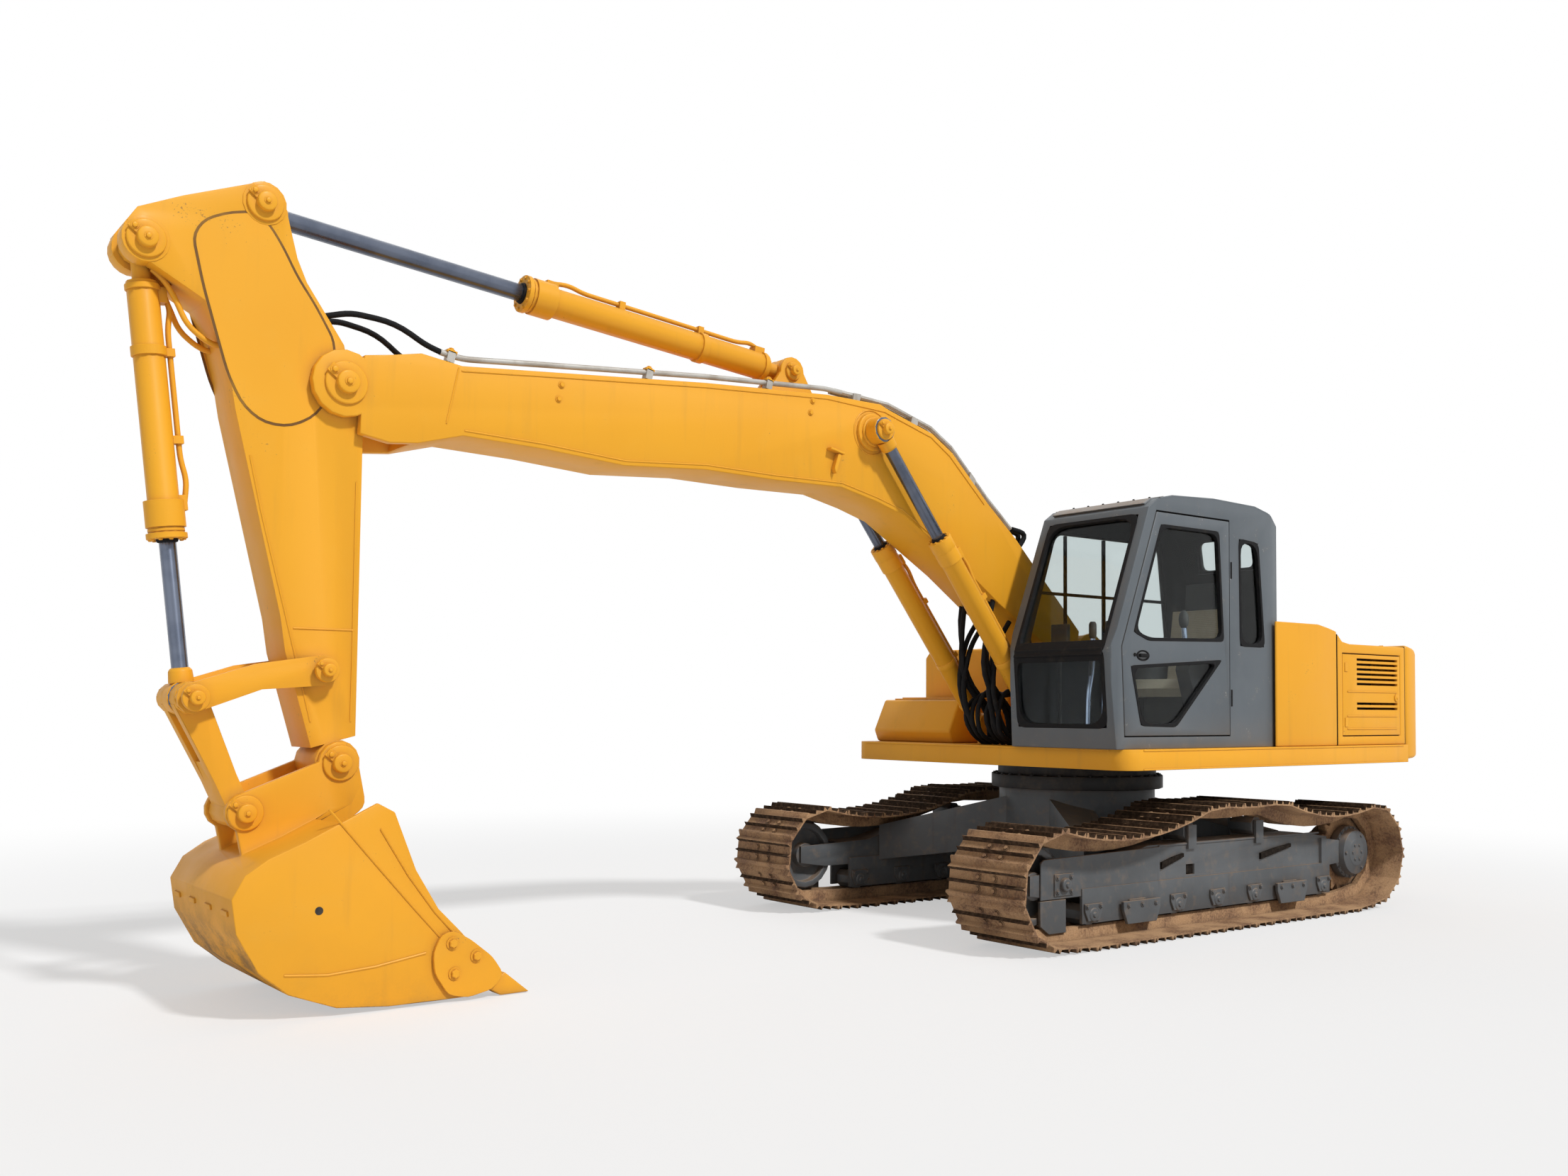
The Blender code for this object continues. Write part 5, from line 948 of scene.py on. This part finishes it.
ROOF = on_cab((0.745, 0.974), (0.678, 0.990), (0.45, 1.002), (0.208, 0.996), (0.130, 0.977))
VISOR = on_cab((0.800, 0.948), (0.762, 0.972), (0.690, 0.988), (0.690, 0.9835), (0.758, 0.966),
               (0.790, 0.945))
rails = [pipe("gutter", [(x, y, z - 0.012) for x, z in ROOF], 0.011)
         for y in (CAB_SIDE_Y - 0.010, CAB_FAR_Y + 0.010)]
hatch = plate("hatch", ((-2.60, 0.52), (-1.85, 0.52), (-1.85, 1.18), (-2.60, 1.18)), 2.985, 3.0005, "Z")
fastened(rails + [hatch], "roof_rails", "house", CAB, 0.003, 2)
visor = plate("visor", VISOR, CAB_FAR_Y + 0.06, CAB_SIDE_Y - 0.06)
pale_finish = frame_paint("pale chipped grey", (0.30, 0.33, 0.35), 0.2)
fitted(rounded(visor, 0.002, 1), "house", ("cab_grey", pale_finish))
x, z = on_cab((0.722, 0.982))[0]
places = [facing((x, CAB_FAR_Y + 0.13 + step * 0.134, z), (0.2, 0, 1)) for step in range(6)]
bolted(0.45, places, "visor_bolts", "house", BLACK)


def chrome(name, light):
    tints = [tuple(light * c for c in tint) for tint in ((0.150, 0.172, 0.225), (0.105, 0.124, 0.170))]
    return "bright_steel", clouded(name, (6.0, 5.0), (0.4, 0.7), tints, (0.20, 0.12), metallic=0.85)


PLASTIC = ("black_plastic",
           clouded("black plastic", (12.0, 5.0), (0.4, 0.8), ((0.018, 0.018, 0.020), (0.050, 0.045, 0.040)),
                   (0.55, 0.25), (260.0, 4.0, 0.0006, 0.5)))
dressed("floor_controls", "consoles", "house", PLASTIC, 0.008)
SEAT_Y = 0.85
levers, knobs = [], []
for out in (1, -1):
    y = SEAT_Y + out * 0.072
    levers.append(pipe("lever", ((-1.292, y, 1.36), (-1.30, y, 1.62), (-1.345, y, 1.80), (-1.35, y, 2.02)),
                       0.0185, 12, 0.08))
    grip = turned("grip", ((0, 0.020), (0.03, 0.027), (0.10, 0.027), (0.12, 0.018)), 16)
    knobs.append(moved(grip, Matrix.Translation((-1.35, y, 2.01))))
    y = SEAT_Y + out * 0.305
    levers.append(pipe("lever", ((-1.90, y, 1.86), (-1.88, y, 2.02), (-1.87, y, 2.10)), 0.0175, 12))
    ball = turned("ball", ((0, 0.018), (0.02, 0.030), (0.06, 0.036), (0.10, 0.030), (0.125, 0.012)), 18)
    knobs.append(moved(ball, Matrix.Translation((-1.868, y, 2.09))))
knobs.append(block("monitor", (-1.32, 0.455, 1.98), (-1.28, 0.60, 2.12)))
knobs.append(pipe("stalk", ((-1.30, 0.52, 1.30), (-1.30, 0.52, 2.00)), 0.014))
knobs.append(block("switches", (-2.04, 0.49, 1.84), (-1.92, 0.58, 1.872)))
fastened(knobs, "lever_grips", "house", PLASTIC, 0.004, 2)
fitted(joined(levers, "travel_levers"), "house", chrome("bright levers", 4.0))


def seat_cloth():
    paint = Finish("seat cloth")
    weave = paint.node("ShaderNodeTexWave", {"Vector": paint.place(), "Scale": 160.0, "Distortion": 1.0})
    cloud = paint.noise(7.0, 5.0)
    colour = paint.mix(cloud.over(0.35, 0.75), (0.46, 0.38, 0.27), (0.36, 0.29, 0.20))
    return paint.done(paint.shader(base_color=paint.mix(weave * 0.3, colour, (0.25, 0.20, 0.14)),
                                   roughness=0.9, sheen_weight=0.3, normal=paint.bump(weave, 0.0008, 0.6)))


CLOTH = ("seat_cloth", seat_cloth())
SEAT_FOOT, SEAT_HEAD = 1.56, 2.245
seat = two_toned(copied("seat", "driver_seat"), CLOTH[1], PLASTIC[1],
                 lambda face: face.center.z < SEAT_FOOT or face.center.z > SEAT_HEAD)
fitted(rounded(seat, 0.035, 4), "house", CLOTH, "seat")

# Boom
# A closed box of welded plate that bends up from its foot, with cast bosses at its pins. Steel
# pipes in clamps carry the oil along its top, and rubber hoses join them to the machine.


def side_frame(pin, turn):
    """The matrix of a side frame: X along the piece, Z across it."""
    return Matrix.Translation(pin) @ Matrix.Rotation(-radians(turn), 4, "Y")


def on(side, along, across, y=0.0):
    """A point of a side frame, off the machine's middle by y."""
    return side @ Vector((along, y, across))


def row(side, spots, y, lift=0.0):
    """A row of points of a side frame, all lifted across it."""
    return [on(side, along, across + lift, y) for along, across in spots]


def beads(name, body, lines, radius=0.005):
    """Weld seams along rows of points."""
    fitted(joined([pipe("bead", line, radius, 6) for line in lines], name), body, YELLOW)


BOOM = side_frame(BOOM_FOOT, 12.16)
BOOM_LENGTH, BOOM_SIDE = 5.901, 0.2105
BOOM_EYE, BOOM_EYE_RADIUS = (2.432, 0.939), 0.150
LOWER_WELD = ((1.40, 0.29), (2.05, 0.485), (2.28, 0.500), (2.60, 0.500), (3.13, 0.378), (3.66, 0.272),
              (4.21, 0.112), (4.74, 0.035), (5.22, -0.053))
UPPER_WELD = ((1.30, 0.82), (1.70, 1.05), (1.90, 1.121), (2.35, 1.147), (2.84, 1.062), (3.77, 0.797),
              (4.84, 0.466), (5.31, 0.319))
CLEAT_WEB = ((2.672, 0.700), (2.700, 0.700), (2.712, 0.590), (2.690, 0.560))
TIP_RUN = ((2.72, 1.078), (2.84, 1.062), (3.77, 0.797), (4.84, 0.466), (5.31, 0.319), (5.44, 0.310))
TIP_PIPE_Y = 0.180
CLAMPS = ((3.305, 0.930), (4.166, 0.674), (5.382, 0.316))
PIPE_GREY = ("pipe_grey",
             clouded("pale pipe paint", (9.0, 6.0), (0.35, 0.7), ((0.50, 0.48, 0.44), (0.36, 0.32, 0.27)),
                     (0.35, 0.3), (120.0, 5.0, 0.0005, 0.4), metallic=0.2))
dressed("boom", "boom_plates", "boom", YELLOW, 0.010)
dressed("boom_pipes", "oil_pipes", "boom", PIPE_GREY, 0)
tip, ram, foot = (on(BOOM, *spot) for spot in ((BOOM_LENGTH, 0), BOOM_EYE, (3.069, 1.161)))
pin_heads("boom_pin_heads", "boom",
          ((tip.x, tip.z, 0.2095, 0.112), (ram.x, ram.z, 0.3505, 0.070), (foot.x, foot.z, 0.0895, 0.060)))
seams, cleats, heads = [], [], []
for out in (1, -1):
    y = out * BOOM_SIDE
    seams.append(row(BOOM, [(5.33, z) for z in (-0.02, 0.10, 0.20, 0.300)], y))
    seams.append(row(BOOM, [(BOOM_EYE[0] + BOOM_EYE_RADIUS * cos(a), BOOM_EYE[1] + BOOM_EYE_RADIUS * sin(a))
                            for a in around(20) + [0]], y))
    seams.append(row(BOOM, LOWER_WELD, y, 0.030))
    seams.append(row(BOOM, UPPER_WELD, y, -0.030))
    heads += [facing(spot, (0, out, 0))
              for spot in row(BOOM, ((4.715, 0.345), (4.715, 0.430), (2.955, 0.895), (2.955, 0.975)), y)]
    near, far = sorted((y, y + out * 0.050))
    ledge = block("ledge", (2.655, near, 0.700), (2.775, far, 0.716))
    cleats.append(moved(joined([ledge, plate("web", CLEAT_WEB, y, y + out * 0.040)], "bracket"), BOOM))
    ring = turned("ring", ((-0.004, 0.128), (0.020, 0.126), (0.024, 0.120), (0.024, 0.088)), 36)
    cleats.append(moved(ring, facing(ram + Vector((0, y, 0)), (0, out, 0))))
beads("boom_weld_seams", "boom", seams)
runs = [pipe("run", row(BOOM, TIP_RUN, out * TIP_PIPE_Y, 0.045), 0.017, 12, 0.06) for out in (1, -1)]
for x, z in CLAMPS:
    for out in (1, -1):
        near, far = sorted((out * 0.158, out * 0.206))
        runs.append(moved(block("clamp", (x - 0.022, near, z - 0.001), (x + 0.022, far, z + 0.060)), BOOM))
        cleats.append(moved(block("band", (x - 0.030, near, z + 0.052), (x + 0.030, far, z + 0.068)), BOOM))
        heads.append(facing(on(BOOM, x, z + 0.070, out * 0.182), BOOM.to_3x3() @ Vector(UP)))
fastened(runs, "boom_tip_pipes", "boom", PIPE_GREY, 0)
fastened(cleats, "boom_cleats", "boom", YELLOW, 0.003)
bolted(1.05, heads, "boom_bolts", "boom", YELLOW)

# from the deck: four hoses to the pipes at the boom's foot, four to the boom, six to the valves
hoses = []
for step, y in enumerate((-0.185, -0.128, 0.128, 0.185)):
    side = 1 if y > 0 else -1
    start = Vector((-1.28 + 0.05 * (step % 2), side * 0.10, 1.27))
    top = on(BOOM, 0.165 * BOOM_LENGTH - 0.01, 0.1125 * BOOM_LENGTH + 0.045, y)
    line = (start, start + Vector((0.02, 0, 0.22)), (-1.02 + 0.05 * step, side * 0.15, 1.74),
            (-0.98, y, 2.28 + 0.04 * step), top + Vector((-0.16, 0, -0.02)), top)
    hoses.append(pipe("hose", line, 0.019, 10, 0.22))
for y, z in ((0.12, 0.0), (0.16, 0.05), (-0.12, 0.02), (-0.16, 0.07)):
    line = ((-1.22, y, 1.26), (-1.08, y, 1.34 + z), (-0.96, y * 1.08, 1.62 + z), (-1.04, y, 1.95 + z),
            (-1.16, y, 2.10 + z))
    hoses.append(pipe("hose", line, 0.019, 10, 0.22))
for step in range(6):
    y, lean = -0.165 + step * 0.066, 0.03 * (step % 3)
    line = ((-1.24, y, 1.256), (-1.10 + lean, y, 1.33), (-1.03, y * 1.06, 1.47 + lean),
            (-1.12, y, 1.60 + lean), (-1.30, y, 1.62))
    hoses.append(pipe("hose", line, 0.017, 10, 0.10))
supply = joined(hoses, "boom_foot_hoses")
supply.data.materials.append(BLACK[1])
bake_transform(supply)

# Arm
# The arm is a welded box too, its two wide side plates doubled round the cylinder pins. Two curved
# hoses feed the bucket cylinder.

ARM = side_frame(Vector((3.81406, 0, 3.173)), -90.18)
ARM_SIDE = 0.1500
DOUBLER = ((4.560, 3.800), (4.512, 3.885), (4.400, 3.945), (4.275, 3.975), (4.205, 3.930), (4.135, 3.830),
           (4.060, 3.690), (3.965, 3.560), (3.870, 3.400), (3.862, 3.316), (3.872, 3.128), (3.962, 2.992),
           (4.090, 2.925), (4.220, 2.935), (4.315, 3.010), (4.385, 3.150), (4.445, 3.351), (4.510, 3.574))
dressed("arm", "arm_plates", "arm", YELLOW, 0.010)
skins, shades, seams = [], [], []
for out in (1, -1):
    face = out * ARM_SIDE
    skins.append(plate("doubler", softened(DOUBLER, 0.06, 3), face - out * 0.0005, face + out * 0.0030))
    # a thin ring just outside each doubler's rim, for its painted shadow
    shades.append(plate("shade", softened(grown(DOUBLER, 0.013), 0.07, 3), face, face + out * 0.0012))
    y = face + out * 0.0005
    seams.append(row(ARM, [(1.275, 0.235 - 0.045 * step) for step in range(8)], y))
    seams.append(row(ARM, ((0.50, -0.111), (1.31, -0.102), (1.75, -0.095)), y, 0.028))
    seams.append(row(ARM, ((0.42, 0.490), (0.70, 0.430), (1.22, 0.300), (1.75, 0.170)), y, -0.028))
fastened(skins, "arm_doublers", "arm", YELLOW, 0.001)
# the ring in dark brown: painted shadow under the doubler's edge
doubler_shadow_paint = machine_paint("grimy weld", (0.16, 0.072, 0.012), 0.8)
fitted(joined(shades, "arm_doubler_welds"), "arm", ("machine_orange", doubler_shadow_paint))
beads("arm_weld_seams", "arm", seams)
CROWD_EYE, CURL_FOOT, LINK_REAR = (on(ARM, *spot)
                                   for spot in ((-0.864, 0.408), (-0.570, 0.966), (1.487, 0.088)))
KNEE_PIN, BUCKET_PIN, LINK_PIN = ((4.53334, 1.53973), (3.80790, 1.21201), (4.28017, 0.97496))
pin_heads("arm_pin_heads", "arm", [(eye.x, eye.z, 0.1545, 0.092) for eye in (CROWD_EYE, CURL_FOOT)])
pin_heads("idler_pin_heads", "idler_links",
          ((LINK_REAR.x, LINK_REAR.z, 0.2345, 0.062), (*KNEE_PIN, 0.2345, 0.066)))
# a hose of the left side: its points' side frame, along, across and distance from the middle
CURL_HOSE = ((ARM, -0.120, 0.560, 0.075), (ARM, -0.130, 0.650, 0.075), (ARM, -0.205, 0.755, 0.075),
             (ARM, -0.310, 0.800, 0.070), (ARM, -0.400, 0.850, 0.062), (ARM, -0.455, 0.915, 0.055))
TIP_HOSE = ((BOOM, 5.42, 0.355, TIP_PIPE_Y), (BOOM, 5.52, 0.365, 0.170), (BOOM, 5.70, 0.430, 0.135),
            (ARM, -0.400, -0.060, 0.100), (ARM, -0.370, 0.050, 0.080), (ARM, -0.350, 0.120, 0.070))


def hose_pair(name, line, radius, bend, finish):
    """The same hose on the left and on the right side, as one piece."""
    pair = joined([pipe("hose", [on(side, x, z, out * y) for side, x, z, y in line], radius, 10, bend)
                   for out in (1, -1)], name)
    pair.data.materials.append(finish)
    return pair


pair = hose_pair("bucket_cylinder_hoses", CURL_HOSE, 0.014, 0.10, YELLOW[1])
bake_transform(pair)
pair = hose_pair("arm_hoses", TIP_HOSE, 0.016, 0.14, BLACK[1])
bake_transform(pair)

# Bucket and its links
# The bucket is rolled and welded from thick plate. Cast teeth and bolted side cutters, worn and
# painted over, edge its mouth, and bent idler links and a forked link turn it.

BUCKET = side_frame(Vector((BUCKET_PIN[0], 0, BUCKET_PIN[1])), -126.90)
BUCKET_RADIUS, BUCKET_SIDE = 1.512, 0.5500
CUTTER_SHARES = ((0.702, 0.225), (0.643, 0.187), (0.615, 0.130), (0.634, 0.090), (0.697, 0.062),
                 (0.800, 0.036), (0.876, 0.040), (0.890, 0.100), (0.850, 0.185), (0.795, 0.232))
CUTTER_BOLTS = ((1.004, 0.180), (1.144, 0.120), (1.135, 0.262))
# weld seams on each side plate: to the ears, along the mouth, along the floor
SIDE_WELDS = (((0.06, 0.270), (0.40, 0.248), (0.72, 0.225), (0.945, 0.205)),
              ((0.56, 0.900), (0.70, 0.745), (0.83, 0.545), (0.955, 0.310)),
              ((0.30, 0.125), (0.58, 0.150), (0.82, 0.152), (1.00, 0.135)))
THROAT = ((0.00, -0.105), (0.265, 0.022), (0.262, 0.200), (0.120, 0.300), (-0.05, 0.250), (-0.06, 0.0))
STRAP = ((0.165, 0.901), (0.187, 0.913), (0.183, 0.924), (0.161, 0.912))
RUBBED = ("machine_orange", machine_paint("rubbed yellow", rubbed=0.70))
for node, body, edge, coat in (("bucket", "bucket", 0.006, RUBBED), ("bucket_teeth", "bucket", 0.007, YELLOW),
                               ("bucket_link", "bucket_link", 0.010, YELLOW),
                               ("idler_link_left", "idler_links", 0.008, YELLOW),
                               ("idler_link_right", "idler_links", 0.008, YELLOW)):
    dressed(node, node + "_plates", body, coat, edge)
pin_heads("bucket_pin_heads", "bucket", ((*BUCKET_PIN, 0.1945, 0.092), (*LINK_PIN, 0.1945, 0.088)))
cutter_outline = softened([(a * BUCKET_RADIUS, b * BUCKET_RADIUS) for a, b in CUTTER_SHARES], 0.03, 2)
seams, wear, heads = [], [], []
for out in (1, -1):
    face = out * BUCKET_SIDE
    seams += [row(BUCKET, weld, face + out * 0.0005) for weld in SIDE_WELDS]
    wear.append(moved(plate("cutter", cutter_outline, face + out * 0.0003, face + out * 0.0240), BUCKET))
    heads += [facing(spot, (0, out, 0))
              for spot in row(BUCKET, CUTTER_BOLTS, face + out * 0.0245)]
wear += [moved(plate("strap", STRAP, y - 0.05, y + 0.05), BUCKET) for y in (-0.42, -0.14, 0.14, 0.42)]
beads("bucket_weld_seams", "bucket", seams, 0.006)
fastened(wear, "bucket_wear_plates", "bucket", YELLOW)
bolted(1.7, heads, "side_cutter_bolts", "bucket", YELLOW)
gussets = [moved(plate("gusset", softened(THROAT, 0.05, 3), out * 0.1715, out * 0.1940), BUCKET)
           for out in (1, -1)]
fastened(gussets, "bucket_throat_gussets", "bucket", YELLOW, 0.003)
# dark discs flush on the side plates stand for the drain holes: painted shade
holes = [moved(turned("hole", ((-0.001, 0.020), (0.0012, 0.020)), 24),
               facing(on(BUCKET, 0.423, 0.594, out * BUCKET_SIDE), (0, out, 0))) for out in (1, -1)]
fitted(joined(holes, "bucket_drain_holes"), "bucket", DARK)

# Cylinders
# Each is a steel tube painted yellow with a bolted gland, and a hard chromed rod. Two ports and a
# steel pipe along the tube feed it.

CHROME = chrome("chromed rod", 1.0)
for node in frame["nodes"]:
    for kind, end, coat in (("cylinder_barrel", "_tube", YELLOW), ("cylinder_rod", "_bar", CHROME)):
        if kind in node:
            dressed(node, node + end, frame["nodes"][node]["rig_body"], coat, 0.003, 2, 40)
ALONG = Matrix.Rotation(pi / 2, 4, "Y")
# foot, rod eye, distances from the middle, tube radius, tube length, how far its bands stand out,
# and the bodies of its tube and its rod
RAMS = {"boom": (RAM_FOOT, ram, (0.300, -0.300), 0.074, 1.635, 0.35, "boom_barrels", "boom_rods"),
        "arm": (foot, CROWD_EYE, (0.0,), 0.086, 1.921, 1.0, "arm_barrel", "arm_rod"),
        "bucket": (CURL_FOOT, Vector((KNEE_PIN[0], 0, KNEE_PIN[1])), (0.0,), 0.074, 1.430, 1.0,
                   "bucket_barrel", "bucket_rod")}
for name, (start, stop, places_y, radius, length, swell, barrel, rod) in RAMS.items():
    reach = (stop - start).length
    gland = length - 0.090
    # the feed pipe's points: distance from the foot, distance from the tube
    feed = ((0.235, 0.024), (0.30, 0.045), (0.40, 0.024), (gland - 0.30, 0.024), (gland - 0.20, 0.045),
            (gland - 0.085, 0.024))
    fittings, seals, eyes = [], [], []
    for y in places_y:
        stand = (Matrix.Translation((start.x, y, start.z))
                 @ Matrix.Rotation(-atan2(stop.z - start.z, stop.x - start.x), 4, "Y"))
        parts = []
        for at, wide, proud in ((0.185, 0.030, 0.008), (length * 0.34, 0.050, 0.009),
                                (length - 0.190, 0.135, 0.020), (length - 0.052, 0.018, 0.012),
                                (length - 0.030, 0.030, 0.022)):
            top = radius + proud * swell
            band = turned("band", ((at, radius), (at + 0.002, top), (at + wide - 0.002, top),
                                   (at + wide, radius)), 36)
            parts.append(moved(band, ALONG))
        parts += [block("port", (at - 0.038, -0.034, radius - 0.012), (at + 0.038, 0.034, radius + 0.030))
                  for at in (0.235, gland - 0.085)]
        parts.append(pipe("line", [(at, 0, radius + away) for at, away in feed], 0.014, 10, 0.05))
        parts += [block("clip", (at - 0.020, -0.026, radius - 0.006), (at + 0.020, 0.026, radius + 0.044))
                  for at in (length * 0.36, length * 0.66)]
        place = radius + 0.020 * swell - 0.016
        screws = [facing((length - 0.001, place * cos(a), place * sin(a)), (1, 0, 0), a) for a in around(10)]
        parts.append(copies(bolt(0.75), screws, "screws"))
        unit = joined(parts, "unit")
        if name == "bucket":
            moved(unit, Matrix.Rotation(pi, 4, "X"))
        fittings.append(moved(unit, stand))
        wiper = turned("wiper", ((length + 0.0005, radius * 0.72), (length + 0.014, radius * 0.66),
                                 (length + 0.016, radius * 0.60)), 28)
        seals.append(moved(wiper, stand @ ALONG))
        collar = turned("collar", ((reach - 0.150, radius * 0.60), (reach - 0.135, radius * 0.76),
                                   (reach - 0.075, radius * 0.82)), 28)
        eye = turned("eye", ((-0.0492, radius * 1.17), (0.0492, radius * 1.17)), 36)
        eyes += [moved(collar, stand @ ALONG), moved(eye, facing((stop.x, y, stop.z), (0, 1, 0)))]
    fastened(fittings, name + "_cylinder_fittings", barrel, YELLOW)
    fitted(joined(seals, name + "_cylinder_wipers"), barrel, BLACK)
    fastened(eyes, name + "_rod_eyes", rod, YELLOW, 0.003)
